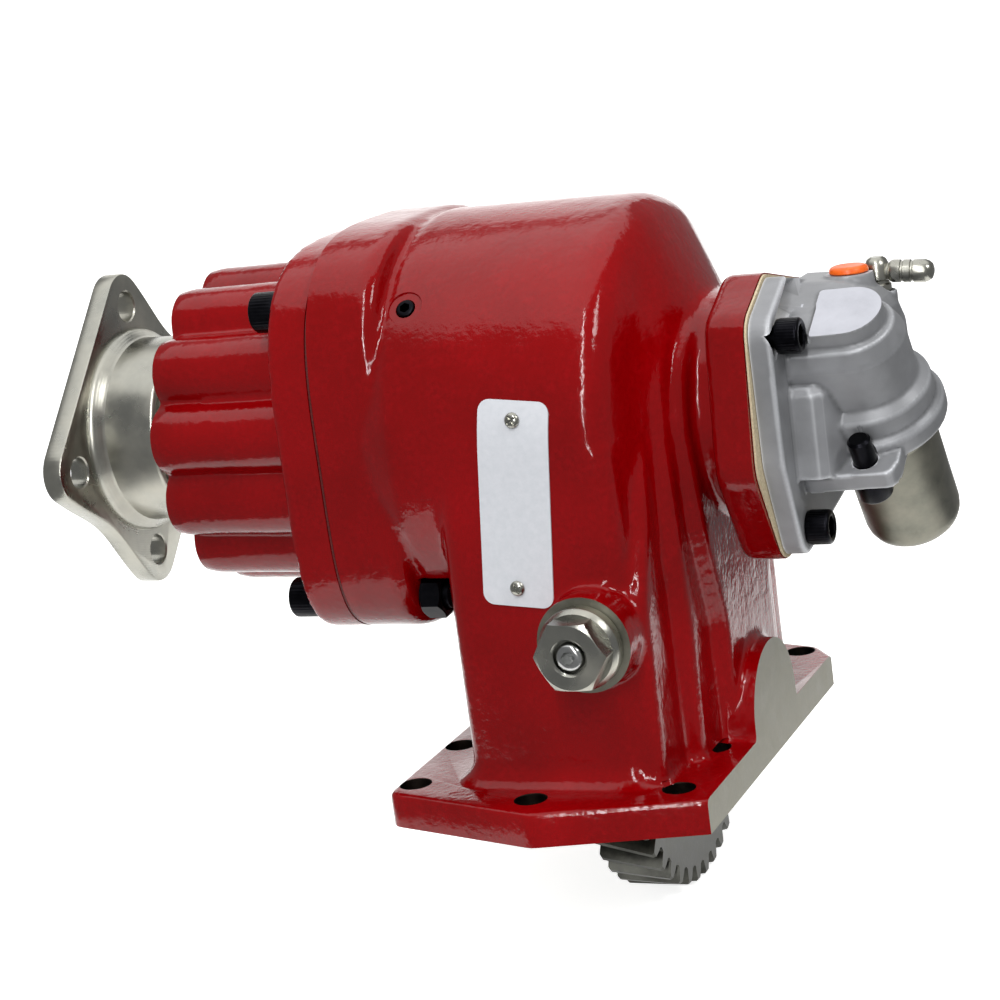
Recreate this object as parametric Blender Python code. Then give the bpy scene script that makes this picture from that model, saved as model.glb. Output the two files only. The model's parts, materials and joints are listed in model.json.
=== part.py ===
"""Ten-bolt power take off with a hydraulic clutch: red castings, companion flange, helical input gear.

Frame: X runs along the output shaft with the companion flange at -X and the alloy cover at +X.
Z is up from the mounting plane at Z = 0, and the origin is in the middle of the mounting pad.
Dimensions are in millimetres and become metres where a mesh is made.
"""

import math

import bmesh
import bpy
from mathutils import Matrix, Vector

mm = 0.001
weld_distance = 0.002 * mm

# Gearing: the input gear meshes with the clutch gear above it
module = 3.0
input_teeth = 40
clutch_teeth = 36
helix_angle = 20.0
pressure_angle = 20.0
backlash = 0.5
gear_left = 7.0
gear_right = 28.0
input_axis_z = 14.0
shaft_z = input_axis_z + module * (input_teeth + clutch_teeth) / 2

# General fits
touch_gap = 0.25
screw_clearance = 0.35
running_clearance = 0.3

# Mounting pad
pad_thickness = 12.0
pad_right = 61.8
pad_left = 55.2
pad_hole_radius = 5.55
pad_side_hole_x = 48.6
pad_corner_hole_y = 74.0
pad_middle_hole_y = 34.5
pad_end_hole_y = 86.5
pad_near_corner_y = 83.5
pad_near_tip_y = 100.5
pad_far_corner_y = 66.0
pad_far_tip_y = 97.0

# Main housing
drum_radius = 74.0
drum_bore_radius = 65.0
joint_face_x = -70.2
drum_start_x = -47.0
drum_end_x = 30.0
bearing_web_x = 45.7
cover_face_x = 80.0
flange_half_width = 68.5
cap_flange_top = 70.0
housing_flange_top = drum_radius
flange_bottom = 69.0
front_wall_y = 74.0
neck_left_x = -28.0
neck_right_x = 38.0
well_left_x = -20.0
well_right_x = 37.0
well_half_length = 65.0
idler_shaft_radius = 10.5
idler_boss_radius = 20.0
thrust_washer_width = 2.15

# Bearings: bore radius, outer radius, width
front_bearing = (20.0, 42.0, 22.0)
rear_bearing = (17.5, 33.0, 18.0)
front_bearing_x = -124.0
rear_bearing_x = bearing_web_x + touch_gap

# End cap with its twelve flutes
cap_left_x = -143.0
cap_flange_left_x = -86.2
gasket_thickness = 0.7
cap_flange_right_x = joint_face_x - gasket_thickness - 2 * touch_gap
flute_count = 12
flute_radius = 13.0
flute_pitch_radius = 46.0
first_flute_angle = 174.0

# Cap screws that hold the end cap
cap_screw_radius = 4.7
cap_head_radius = 7.15
cap_head_height = 9.5
upper_screw = (50.5, 49.5)
lower_screw = (53.0, 53.5)

nut_chamfer = 1.2
nut_bore_clearance = 0.3

# Companion flange
companion_face_x = -190.1
companion_plate = 8.0
companion_bolt_circle = 95.25
companion_hole_radius = 5.7
companion_pilot_radius = 34.925
companion_hub_radius = 35.0
companion_ear_radius = 12.8
companion_angle = 136.8
companion_half_spread = 50.2

# Alloy cover and its screws
cover_screw_places = ((-39.7, 27.9), (43.2, 22.0), (-27.9, -39.7), (39.7, -27.9))
cover_neck_radius = 38.0
cover_screw_radius = 3.9
cover_head_radius = 5.95
cover_head_height = 8.0
cover_flange_left_x = cover_face_x + gasket_thickness + 2 * touch_gap
cover_flange_right_x = 88.5

# Facets round a circle: outside castings, parts inside, bosses and small round parts
facets_outside = 36
facets_inside = 20
facets_boss = 24
facets_small = 10

# Clutch
cup_radius = 61.0
cup_wall = 5.0
cup_back_x = -62.0
steel_thickness = 2.0
friction_thickness = 2.4
plate_gap = 0.35
gear_hub_radius = 36.0
clutch_shaft_radius = 22.0


def reset_scene():
    for item in list(bpy.data.objects):
        bpy.data.objects.remove(item, do_unlink=True)


def make_material(name, colour, metallic, roughness):
    material = bpy.data.materials.new(name)
    material.use_nodes = True
    shader = material.node_tree.nodes["Principled BSDF"]
    shader.inputs["Base Color"].default_value = (*colour, 1.0)
    shader.inputs["Metallic"].default_value = metallic
    shader.inputs["Roughness"].default_value = roughness
    return material


def object_from(name, mesh):
    """Turns a bmesh in millimetres into an object in metres with its faces outwards."""
    bmesh.ops.recalc_face_normals(mesh, faces=mesh.faces)
    bmesh.ops.scale(mesh, vec=Vector((mm, mm, mm)), verts=mesh.verts)
    data = bpy.data.meshes.new(name)
    mesh.to_mesh(data)
    mesh.free()
    item = bpy.data.objects.new(name, data)
    bpy.context.scene.collection.objects.link(item)
    return item


def skin(name, rings, closed_loop=False):
    """Joins rings of points, one after the other. A ring of one point is a tip."""
    mesh = bmesh.new()
    made = [[mesh.verts.new(point) for point in ring] for ring in rings]
    pairs = list(zip(made, made[1:]))
    if closed_loop:
        pairs.append((made[-1], made[0]))
    for first, second in pairs:
        count = max(len(first), len(second))
        for k in range(count):
            corners = [first[k % len(first)], first[(k + 1) % len(first)]]
            corners += [second[(k + 1) % len(second)], second[k % len(second)]]
            kept = []
            for corner in corners:
                if corner not in kept:
                    kept.append(corner)
            mesh.faces.new(kept)
    if not closed_loop:
        for ring in (made[0], made[-1]):
            if len(ring) > 2:
                mesh.faces.new(ring)
    return object_from(name, mesh)


def turned(name, profile, segments=facets_inside, y=0.0, z=shaft_z):
    """A solid of revolution about an axis along X, from (x, radius) points."""
    rings = []
    for x, radius in profile:
        if radius == 0:
            rings.append([Vector((x, y, z))])
            continue
        ring = []
        for k in range(segments):
            angle = 2 * math.pi * (k + 0.5) / segments
            ring.append(Vector((x, y + radius * math.cos(angle), z + radius * math.sin(angle))))
        rings.append(ring)
    return skin(name, rings, closed_loop=profile[0][1] > 0)


def tube(name, x0, x1, inner, outer, segments=facets_inside, y=0.0, z=shaft_z):
    """A plain ring along X."""
    return turned(name, [(x0, inner), (x0, outer), (x1, outer), (x1, inner)], segments, y, z)


def rod(name, x0, x1, radius, segments=facets_small, y=0.0, z=shaft_z, chamfer=0.0):
    edge = [(x0, radius), (x1, radius)]
    if chamfer:
        edge = [(x0, radius - chamfer), (x0 + chamfer, radius)]
        edge += [(x1 - chamfer, radius), (x1, radius - chamfer)]
    return turned(name, [(x0, 0), *edge, (x1, 0)], segments, y, z)


def lofted(name, sections, axis="X"):
    """A solid through outlines of (a, b) points: (y, z) along X, (x, y) along Z or (x, z) along Y."""
    rings = []
    for at, outline in sections:
        if axis == "X":
            rings.append([Vector((at, a, b)) for a, b in outline])
        elif axis == "Z":
            rings.append([Vector((a, b, at)) for a, b in outline])
        else:
            rings.append([Vector((a, at, b)) for a, b in outline])
    return skin(name, rings)


def placed(item, matrix):
    """Moves the mesh itself, so that the object keeps its place."""
    item.data.transform(matrix)
    if matrix.to_3x3().determinant() < 0:
        item.data.flip_normals()
    return item


def aimed(item, start, direction):
    """Turns a shape made along X from the origin to point along a direction from a start point in mm."""
    turn = Vector((1, 0, 0)).rotation_difference(Vector(direction)).to_matrix().to_4x4()
    return placed(item, Matrix.Translation(Vector(start) * mm) @ turn)


def combined(item, tool, operation, solver="EXACT"):
    """Runs one Boolean, keeps its result in the first object and removes the tool."""
    change = item.modifiers.new(operation, "BOOLEAN")
    change.operation = operation
    change.solver = solver
    change.object = tool
    graph = bpy.context.evaluated_depsgraph_get()
    data = bpy.data.meshes.new_from_object(item.evaluated_get(graph))
    item.modifiers.clear()
    item.data = data
    bpy.data.objects.remove(tool, do_unlink=True)
    tidied = bmesh.new()
    tidied.from_mesh(data)
    bmesh.ops.remove_doubles(tidied, verts=tidied.verts, dist=weld_distance)
    bmesh.ops.dissolve_degenerate(tidied, dist=weld_distance, edges=tidied.edges)
    tidied.to_mesh(data)
    tidied.free()
    return item


def joined(item, *tools):
    for tool in tools:
        combined(item, tool, "UNION")
    return item


def cut(item, *tools):
    for tool in tools:
        combined(item, tool, "DIFFERENCE")
    return item


def finished(item, name, material, smooth=30.0):
    """Names the sub-part, gives it its material and shades its round faces smooth."""
    item.name = name
    item.data.name = name
    item.data.materials.clear()
    item.data.materials.append(material)
    item.data.shade_smooth()
    item.data.set_sharp_from_angle(angle=math.radians(smooth))
    return item


def circle_points(radius, count, centre=(0.0, 0.0), start=0.0):
    found = []
    for k in range(count):
        angle = start + 2 * math.pi * k / count
        found.append((centre[0] + radius * math.cos(angle), centre[1] + radius * math.sin(angle)))
    return found


def hull_outline(circles, count):
    """The outline round several circles, as one point for each direction out from the middle."""
    found = []
    for k in range(count):
        angle = 2 * math.pi * k / count
        way = (math.cos(angle), math.sin(angle))
        support = max(circles, key=lambda c: c[0] * way[0] + c[1] * way[1] + c[2])
        found.append((support[0] + support[2] * way[0], support[1] + support[2] * way[1]))
    return found


def rounded_box(x0, x1, y0, y1, radius, steps=3):
    found = []
    corners = ((x1, y1, 0), (x0, y1, 90), (x0, y0, 180), (x1, y0, 270))
    for x, y, start in corners:
        cx = x - radius if x == x1 else x + radius
        cy = y - radius if y == y1 else y + radius
        for k in range(steps + 1):
            angle = math.radians(start + 90 * k / steps)
            found.append((cx + radius * math.cos(angle), cy + radius * math.sin(angle)))
    return found


def rounded_polygon(corners, radius, steps=3):
    """A polygon, given anticlockwise, with each of its corners rounded."""
    found = []
    count = len(corners)
    for k in range(count):
        corner = Vector(corners[k])
        back = (Vector(corners[k - 1]) - corner).normalized()
        ahead = (Vector(corners[(k + 1) % count]) - corner).normalized()
        half = back.angle(ahead) / 2
        middle = corner + (back + ahead).normalized() * radius / math.sin(half)
        first = corner + back * radius / math.tan(half)
        last = corner + ahead * radius / math.tan(half)
        start = math.atan2(first.y - middle.y, first.x - middle.x)
        sweep = math.atan2(last.y - middle.y, last.x - middle.x) - start
        sweep = (sweep + math.pi) % (2 * math.pi) - math.pi
        for n in range(steps + 1):
            angle = start + sweep * n / steps
            found.append((middle.x + radius * math.cos(angle), middle.y + radius * math.sin(angle)))
    return found


def flange_outline(top, inset=0.0, count=facets_outside):
    """The rounded square joint flange, squarer below where the long screws are."""
    found = []
    for k in range(count):
        angle = 2 * math.pi * (k + 0.5) / count
        c = math.cos(angle)
        s = math.sin(angle)
        power = 3.3 if s > 0 else 4.6
        tall = (top if s > 0 else flange_bottom) - inset
        wide = flange_half_width - inset
        reach = (abs(c / wide) ** power + abs(s / tall) ** power) ** (-1 / power)
        found.append((reach * c, shaft_z + reach * s))
    return found


def gear_outline(teeth, gap, z, phase):
    """Involute teeth as (y, z) points about an axis at height z. The phase is in radians."""
    pitch = module * teeth / 2
    base = pitch * math.cos(math.radians(pressure_angle))
    root = pitch - 1.25 * module
    tip = pitch + module
    involute = math.tan(math.radians(pressure_angle)) - math.radians(pressure_angle)
    half_tooth = (math.pi * module / 2 - gap) / 2 / pitch
    radii = [max(base, root) + 0.02, pitch, tip]
    half_angles = []
    for radius in radii:
        turn = math.acos(min(1.0, base / radius))
        half_angles.append(half_tooth + involute - (math.tan(turn) - turn))
    found = []
    for k in range(teeth):
        middle = phase + 2 * math.pi * k / teeth
        flank = list(zip(radii, half_angles))
        left = [(radius, middle - half) for radius, half in flank]
        right = [(radius, middle + half) for radius, half in reversed(flank)]
        for radius, angle in left + right:
            found.append((radius * math.cos(angle), z + radius * math.sin(angle)))
    return found


def helical_gear(name, teeth, x0, x1, z, phase, hand, slices=1):
    """A solid gear blank: the tooth outline turned a little further in each slice."""
    pitch = module * teeth / 2
    twist = hand * (x1 - x0) * math.tan(math.radians(helix_angle)) / pitch
    sections = []
    for k in range(slices + 1):
        share = k / slices
        outline = gear_outline(teeth, backlash, z, phase + twist * (share - 0.5))
        sections.append((x0 + (x1 - x0) * share, outline))
    return lofted(name, sections)


def hexagon(across_flats, centre=(0.0, 0.0), turn=0.0):
    return circle_points(across_flats / math.sqrt(3), 6, centre, math.radians(turn))


def socket_screw(name, head_x, tip_x, shank, head_radius, head_height, y, z, towards=1):
    """A socket head cap screw along X. Its head bears at head_x and its shank runs to tip_x."""
    outer_x = head_x - towards * head_height
    profile = [
        (outer_x, 0),
        (outer_x, head_radius - 0.6),
        (outer_x + towards * 0.6, head_radius),
        (head_x, head_radius),
        (head_x, shank),
        (tip_x - towards * 0.8, shank),
        (tip_x, shank - 0.8),
        (tip_x, 0),
    ]
    screw = turned(name, profile, facets_small, y, z)
    flats = head_radius * 1.14
    deep = sorted((outer_x - towards * 1.0, outer_x + towards * head_height * 0.5))
    socket = lofted(name + "_socket", [(at, hexagon(flats, (y, z))) for at in deep])
    return cut(screw, socket)


def hex_nut(name, x0, x1, across_flats, bore, y, z, turn, segments):
    outline = hexagon(across_flats, (y, z), turn)
    nut = lofted(name, [(x0, outline), (x1, outline)])
    across_end = across_flats * 0.52
    across_corners = across_flats * 0.6
    profile = [(x0, 0), (x0, across_end), (x0 + nut_chamfer, across_corners)]
    profile += [(x1 - nut_chamfer, across_corners), (x1, across_end), (x1, 0)]
    combined(nut, turned(name + "_chamfer", profile, facets_small, y, z), "INTERSECT")
    return cut(nut, rod(name + "_bore", x0 - 1, x1 + 1, bore, segments, y, z))


reset_scene()

red_paint = make_material("gloss red enamel on cast iron", (0.42, 0.0, 0.004), 0.0, 0.25)
cast_alloy = make_material("die cast aluminium", (0.55, 0.56, 0.57), 1.0, 0.45)
zinc = make_material("yellow zinc plated steel", (0.62, 0.6, 0.5), 1.0, 0.35)
gear_steel = make_material("oiled gear steel", (0.3, 0.3, 0.28), 1.0, 0.4)
ground_steel = make_material("ground bearing steel", (0.55, 0.55, 0.55), 1.0, 0.25)
black_oxide = make_material("black oxide steel", (0.01, 0.01, 0.012), 0.8, 0.45)
gasket_paper = make_material("gasket paper", (0.6, 0.52, 0.4), 0.0, 0.9)
seal_rubber = make_material("black seal rubber", (0.01, 0.01, 0.01), 0.0, 0.6)
friction_lining = make_material("clutch friction lining", (0.12, 0.09, 0.06), 0.0, 0.8)
orange_plastic = make_material("orange shipping cap", (0.85, 0.14, 0.01), 0.0, 0.4)
label_stock = make_material("white label plate", (0.8, 0.82, 0.84), 0.0, 0.35)
spring_steel = make_material("spring steel", (0.2, 0.2, 0.21), 1.0, 0.35)

# Cover screw places, shared by the housing, the gasket, the cover and the screws
cover_screws = [(y, shaft_z + z) for y, z in cover_screw_places]
cap_screws = [
    (-upper_screw[0], shaft_z + upper_screw[1]),
    (upper_screw[0], shaft_z + upper_screw[1]),
    (-lower_screw[0], shaft_z - lower_screw[1]),
    (lower_screw[0], shaft_z - lower_screw[1]),
]


def cover_outline(ear_radius, near_bulge, count=facets_outside):
    """The flange round the four screws, with a crest near the top and a bulge on each side."""
    circles = [(y, z, ear_radius) for y, z in cover_screws]
    circles.append((-22.0, shaft_z + 36.0, ear_radius))
    circles.append((-38.0, shaft_z - 12.0, near_bulge))
    circles.append((40.0, shaft_z - 5.0, ear_radius + 1))
    return hull_outline(circles, count)


# Main housing, outer shape
drum = turned(
    "drum",
    [
        (drum_start_x - 8, 0),
        (drum_start_x - 8, drum_radius - 6),
        (drum_start_x + 6, drum_radius),
        (drum_end_x - 2, drum_radius),
        (drum_end_x + 4, drum_radius - 1.6),
        (drum_end_x + 10, drum_radius - 6.5),
        (drum_end_x + 15, drum_radius - 16.5),
        (drum_end_x + 23.5, cover_neck_radius),
        (cover_face_x - 10, cover_neck_radius),
        (cover_face_x - 10, 0),
    ],
    facets_outside,
)
joint_flange = lofted(
    "joint_flange",
    [
        (joint_face_x, flange_outline(housing_flange_top, 1.0)),
        (joint_face_x + 1.0, flange_outline(housing_flange_top)),
        (drum_start_x - 2, flange_outline(housing_flange_top)),
        (drum_start_x + 2, flange_outline(housing_flange_top, 3.0)),
    ],
)


def neck_outline(wider, longer):
    """The box between the pad and the drum, grown at its foot where it spreads into the pad."""
    long = front_wall_y + longer
    return rounded_box(neck_left_x - wider, neck_right_x + wider, -long, long, 8 + 0.7 * wider, 3)


neck = lofted(
    "neck",
    [
        (pad_thickness - 4, neck_outline(6, 4)),
        (pad_thickness + 0.5, neck_outline(6, 4)),
        (pad_thickness + 3, neck_outline(2, 1)),
        (pad_thickness + 8, neck_outline(0, 0)),
        (shaft_z, neck_outline(0, 0)),
    ],
    "Z",
)


def arch_outline(half_width, rise, foot_width, foot_z, count=12):
    """A doorway shape: an elliptical top over the shaft, and sides that reach their foot width at a height."""
    middle_z = (shaft_z + foot_z) / 2
    middle_width = half_width + (foot_width - half_width) * 0.3
    found = [(foot_width, 2.0), (foot_width, foot_z), (middle_width, middle_z)]
    for k in range(count + 1):
        angle = math.pi * k / count
        found.append((half_width * math.cos(angle), shaft_z + rise * math.sin(angle)))
    found += [(-middle_width, middle_z), (-foot_width, foot_z), (-foot_width, 2.0)]
    return found


# Each step of the right end: half width, rise, foot width, foot height, start and end
end_steps = (
    (56.0, 53.0, 72.5, 74.0, 28.0, 43.5),
    (49.5, 45.5, 48.5, 60.0, 38.0, 49.5),
    (45.0, 38.5, 28.0, 55.0, 44.0, 55.5),
)
steps = []
for half_width, rise, foot_width, foot_z, start, end in end_steps:
    steps.append(
        lofted(
            "step",
            [
                (start, arch_outline(half_width, rise, foot_width, foot_z)),
                (end - 2, arch_outline(half_width, rise, foot_width, foot_z)),
                (end, arch_outline(half_width - 2.5, rise - 2.5, foot_width - 2.5, foot_z)),
            ],
        )
    )
pad_corners = [
    (pad_right, -pad_near_corner_y),
    (pad_right, pad_far_corner_y),
    (pad_side_hole_x + 5, pad_far_corner_y + 15),
    (4.0, pad_far_tip_y),
    (-pad_left, pad_near_corner_y),
    (-pad_left, -pad_near_corner_y),
    (4.0, -pad_near_tip_y),
]
pad = lofted(
    "pad",
    [
        (0.0, rounded_polygon(pad_corners, 5.0)),
        (pad_thickness - 1.5, rounded_polygon(pad_corners, 5.0)),
        (pad_thickness, rounded_polygon([(x * 0.985, y * 0.988) for x, y in pad_corners], 5.0)),
    ],
    "Z",
)
cover_pad = lofted(
    "cover_pad",
    [
        (cover_face_x - 14, cover_outline(8.5, 14.0)),
        (cover_face_x - 12, cover_outline(10.5, 17.0)),
        (cover_face_x, cover_outline(10.5, 17.0)),
    ],
)
idler_face = rod("idler_face", 44.0, pad_right, 25.0, facets_inside, -3.0, input_axis_z + 2.0)
idler_boss_left = rod(
    "idler_boss_left", neck_left_x - 9, neck_left_x + 4, idler_boss_radius, facets_boss, 0.0, input_axis_z, 1.5
)
port_x = 25.9
port_z = 65.7
port_face_y = -85.7
port_seat = (port_x, port_face_y, port_z)
port_way = (0, -1, 0)
port_boss = aimed(rod("port_boss", -20, 0, 16.5, facets_boss, 0.0, 0.0, 1.5), port_seat, port_way)
housing = joined(drum, joint_flange, neck, *steps, pad, cover_pad, idler_face, idler_boss_left, port_boss)

# Main housing, hollows and holes
bore = turned(
    "bore",
    [
        (joint_face_x - 2, 0),
        (joint_face_x - 2, drum_bore_radius),
        (drum_end_x - 6, drum_bore_radius),
        (drum_end_x, drum_bore_radius - 8),
        (drum_end_x, 30.0),
        (bearing_web_x, 30.0),
        (bearing_web_x, rear_bearing[1] + touch_gap),
        (cover_face_x + 2, rear_bearing[1] + touch_gap),
        (cover_face_x + 2, 0),
    ],
    facets_inside,
)
well_outline = rounded_box(well_left_x, well_right_x, -well_half_length, well_half_length, 6, 2)
well = lofted(
    "well",
    [
        (-2.0, well_outline),
        (shaft_z, well_outline),
    ],
    "Z",
)
cut(housing, bore, well)
boss_gap = thrust_washer_width + 2 * touch_gap
for x0, x1 in ((well_left_x - 4, gear_left - boss_gap), (gear_right + boss_gap, well_right_x + 4)):
    joined(housing, rod("boss_inside", x0, x1, idler_boss_radius, facets_boss, 0.0, input_axis_z))
below_outline = rounded_box(-90, 90, -130, 130, 5, 1)
below = lofted("below", [(-60.0, below_outline), (0.0, below_outline)], "Z")
idler_end_x = pad_right - 8
idler_bore = rod(
    "idler_bore", neck_left_x - 12, idler_end_x, idler_shaft_radius + touch_gap, facets_boss, 0.0, input_axis_z
)
cut(housing, below, idler_bore)
pad_holes = [(0.0, -pad_end_hole_y), (0.0, pad_end_hole_y)]
for x in (-pad_side_hole_x, pad_side_hole_x):
    for y in (-pad_corner_hole_y, -pad_middle_hole_y, pad_middle_hole_y, pad_corner_hole_y):
        pad_holes.append((x, y))
for x, y in pad_holes:
    outline = circle_points(pad_hole_radius, facets_small, (x, y))
    cut(housing, lofted("pad_hole", [(-1.0, outline), (pad_thickness + 1, outline)], "Z"))
nut_face_x = drum_start_x + 2.5
cap_screw_hole = cap_screw_radius + screw_clearance
cover_screw_hole = cover_screw_radius + screw_clearance
for k, (y, z) in enumerate(cap_screws):
    deep = drum_start_x - 3 if k < 2 else nut_face_x + 2
    cut(housing, rod("cap_screw_hole", joint_face_x - 1, deep, cap_screw_hole, facets_small, y, z))
    if k >= 2:
        cut(housing, rod("nut_pocket", nut_face_x, nut_face_x + 14, 8.6, facets_small, y, z))
for y, z in cover_screws:
    cut(housing, rod("cover_hole", cover_face_x - 12, cover_face_x + 1, cover_screw_hole, facets_small, y, z))
port_hole = aimed(rod("port_hole", -26, 1, 8.0, facets_small, 0.0, 0.0), port_seat, port_way)
plug_x = -36.0
plug_angle = math.radians(139.0)
plug_way = (0.0, math.cos(plug_angle), math.sin(plug_angle))
plug_seat = (plug_x, drum_radius * plug_way[1], shaft_z + drum_radius * plug_way[2])
plug_hole_profile = [(-14, 0), (-14, 3.6), (-0.8, 3.6), (-0.8, 6.0), (3, 8.0), (3, 0)]
plug_hole = aimed(turned("plug_hole", plug_hole_profile, facets_small, 0.0, 0.0), plug_seat, plug_way)
cut(housing, port_hole, plug_hole)
label_centre = (3.2, 111.0)
label_tilt = math.radians(5.6)
label_size = (25.2, 70.0)
label_screw_reach = 28.6
label_screws = []
for end in (-1, 1):
    along = end * label_screw_reach
    x = label_centre[0] + along * math.sin(label_tilt)
    label_screws.append((x, label_centre[1] + along * math.cos(label_tilt)))


def wall_y(z):
    """Where the front wall is at a height: flat below the shaft and round the drum above it."""
    rise = max(0.0, z - shaft_z)
    return -math.sqrt(drum_radius**2 - rise**2)


def wall_way(z):
    """Straight out of the front wall at a height."""
    return Vector((0, wall_y(z), max(0.0, z - shaft_z))).normalized()


for x, z in label_screws:
    hole = aimed(rod("label_screw_hole", -6, 2, 1.5, facets_small, 0.0, 0.0), (x, wall_y(z), z), wall_way(z))
    cut(housing, hole)
finished(housing, "main_housing", red_paint, 35)

# End cap: a square flange and a body of twelve flutes, in one casting


def flute_outline(radius_change=0.0, per_flute=4):
    """Round lobes about the shaft, joined where neighbouring lobes meet."""
    found = []
    half = math.pi / flute_count
    reach = flute_radius + radius_change
    for k in range(flute_count):
        middle = math.radians(first_flute_angle) + 2 * half * k
        for n in range(per_flute):
            away = half * (2 * (n + 0.5) / per_flute - 1)
            far = flute_pitch_radius * math.cos(away)
            far += math.sqrt(reach**2 - (flute_pitch_radius * math.sin(away)) ** 2)
            found.append((far * math.cos(middle + away), shaft_z + far * math.sin(middle + away)))
    return found


cap = lofted(
    "cap",
    [
        (cap_left_x, flute_outline(-0.9)),
        (cap_left_x + 1.4, flute_outline(-0.35)),
        (cap_left_x + 4.0, flute_outline(0.2)),
        (cap_flange_left_x + 6, flute_outline(0.9)),
    ],
)
cap_flange = lofted(
    "cap_flange",
    [
        (cap_flange_left_x, flange_outline(cap_flange_top, 1.2)),
        (cap_flange_left_x + 1.2, flange_outline(cap_flange_top)),
        (cap_flange_right_x - 0.8, flange_outline(cap_flange_top)),
        (cap_flange_right_x, flange_outline(cap_flange_top, 0.8)),
    ],
)
joined(cap, cap_flange)
seal_radius = 33.0
cap_bore = turned(
    "cap_bore",
    [
        (cap_left_x - 1, 0),
        (cap_left_x - 1, seal_radius + touch_gap),
        (cap_left_x + 12, seal_radius + touch_gap),
        (cap_left_x + 12, 28.0),
        (front_bearing_x - touch_gap, 28.0),
        (front_bearing_x - touch_gap, front_bearing[1] + touch_gap),
        (cap_flange_left_x - 4, front_bearing[1] + touch_gap),
        (cap_flange_left_x + 2, 52.0),
        (cap_flange_right_x + 1, 52.0),
        (cap_flange_right_x + 1, 0),
    ],
    facets_inside,
)
cut(cap, cap_bore)
for y, z in cap_screws:
    cut(cap, rod("cap_hole", cap_flange_left_x - 1, cap_flange_right_x + 1, cap_screw_hole, facets_small, y, z))
    spot_radius = cap_head_radius + 0.8
    cut(cap, rod("spotface", cap_flange_left_x - 12, cap_flange_left_x, spot_radius, facets_small, y, z))
finished(cap, "end_cap", red_paint, 35)

# Gaskets
cap_gasket = lofted(
    "cap_gasket",
    [
        (joint_face_x - gasket_thickness - touch_gap, flange_outline(cap_flange_top, 0.5)),
        (joint_face_x - touch_gap, flange_outline(cap_flange_top, 0.5)),
    ],
)
cut(cap_gasket, rod("gasket_bore", joint_face_x - 3, joint_face_x + 1, drum_bore_radius - 4, facets_inside))
for y, z in cap_screws:
    cut(cap_gasket, rod("gasket_hole", joint_face_x - 3, joint_face_x + 1, cap_screw_hole, facets_small, y, z))
finished(cap_gasket, "cap_gasket", gasket_paper)
cover_gasket = lofted(
    "cover_gasket",
    [
        (cover_face_x + touch_gap, cover_outline(9.6, 14.0)),
        (cover_face_x + touch_gap + gasket_thickness, cover_outline(9.6, 14.0)),
    ],
)
cut(cover_gasket, rod("cover_gasket_bore", cover_face_x - 1, cover_face_x + 3, rear_bearing[1], facets_inside))
for y, z in cover_screws:
    cut(cover_gasket, rod("hole", cover_face_x - 1, cover_face_x + 3, cover_screw_hole, facets_small, y, z))
finished(cover_gasket, "cover_gasket", gasket_paper)

# Screws and nuts of the end cap
cap_screw_names = ("cap_screw_near_top", "cap_screw_far_top", "cap_screw_near_bottom", "cap_screw_far_bottom")
for k, (y, z) in enumerate(cap_screws):
    tip = drum_start_x - 5 if k < 2 else nut_face_x + 11
    name = cap_screw_names[k]
    seat_x = cap_flange_left_x - touch_gap
    screw = socket_screw(name, seat_x, tip, cap_screw_radius, cap_head_radius, cap_head_height, y, z)
    finished(screw, name, black_oxide)
    if k >= 2:
        nut_name = ("cap_nut_near", "cap_nut_far")[k - 2]
        nut_bore = cap_screw_radius + nut_bore_clearance
        x0 = nut_face_x + touch_gap
        nut = hex_nut(nut_name, x0, x0 + 8.25, 14.3, nut_bore, y, z, 15, facets_small)
        finished(nut, nut_name, black_oxide)

# Companion flange
companion_back_x = companion_face_x + companion_plate
hub_end_x = front_bearing_x - 2 * touch_gap
companion_holes = []
for side in (-1, 1):
    for half_turn in (0, 180):
        angle = math.radians(companion_angle + side * companion_half_spread + half_turn)
        reach = companion_bolt_circle / 2
        companion_holes.append((reach * math.cos(angle), shaft_z + reach * math.sin(angle)))
ears = [(y, z, companion_ear_radius) for y, z in companion_holes]


def companion_outline(change=0.0, count=48):
    """Straight between near neighbours and hollowed between far ones, with round ears at the holes."""
    found = []
    straight = hull_outline([(y, z, r + change) for y, z, r in ears], 720)
    for k in range(count):
        angle = 2 * math.pi * (k + 0.5) / count
        way = Vector((math.cos(angle), math.sin(angle)))
        reach = 0.0
        for (y0, z0), (y1, z1) in zip(straight, straight[1:] + straight[:1]):
            edge = Vector((y1 - y0, z1 - z0))
            across = way.x * edge.y - way.y * edge.x
            if abs(across) < 1e-9:
                continue
            start = Vector((y0, z0 - shaft_z))
            far = (start.x * edge.y - start.y * edge.x) / across
            share = (start.x * way.y - start.y * way.x) / across
            if far > 0 and -1e-6 <= share <= 1 + 1e-6:
                reach = max(reach, far)
        turn = math.degrees(angle) - companion_angle
        hollow = max(0.0, math.cos(math.radians(2 * (turn - 90)))) ** 2
        reach -= 5.0 * hollow
        found.append((reach * way.x, shaft_z + reach * way.y))
    return found


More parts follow.
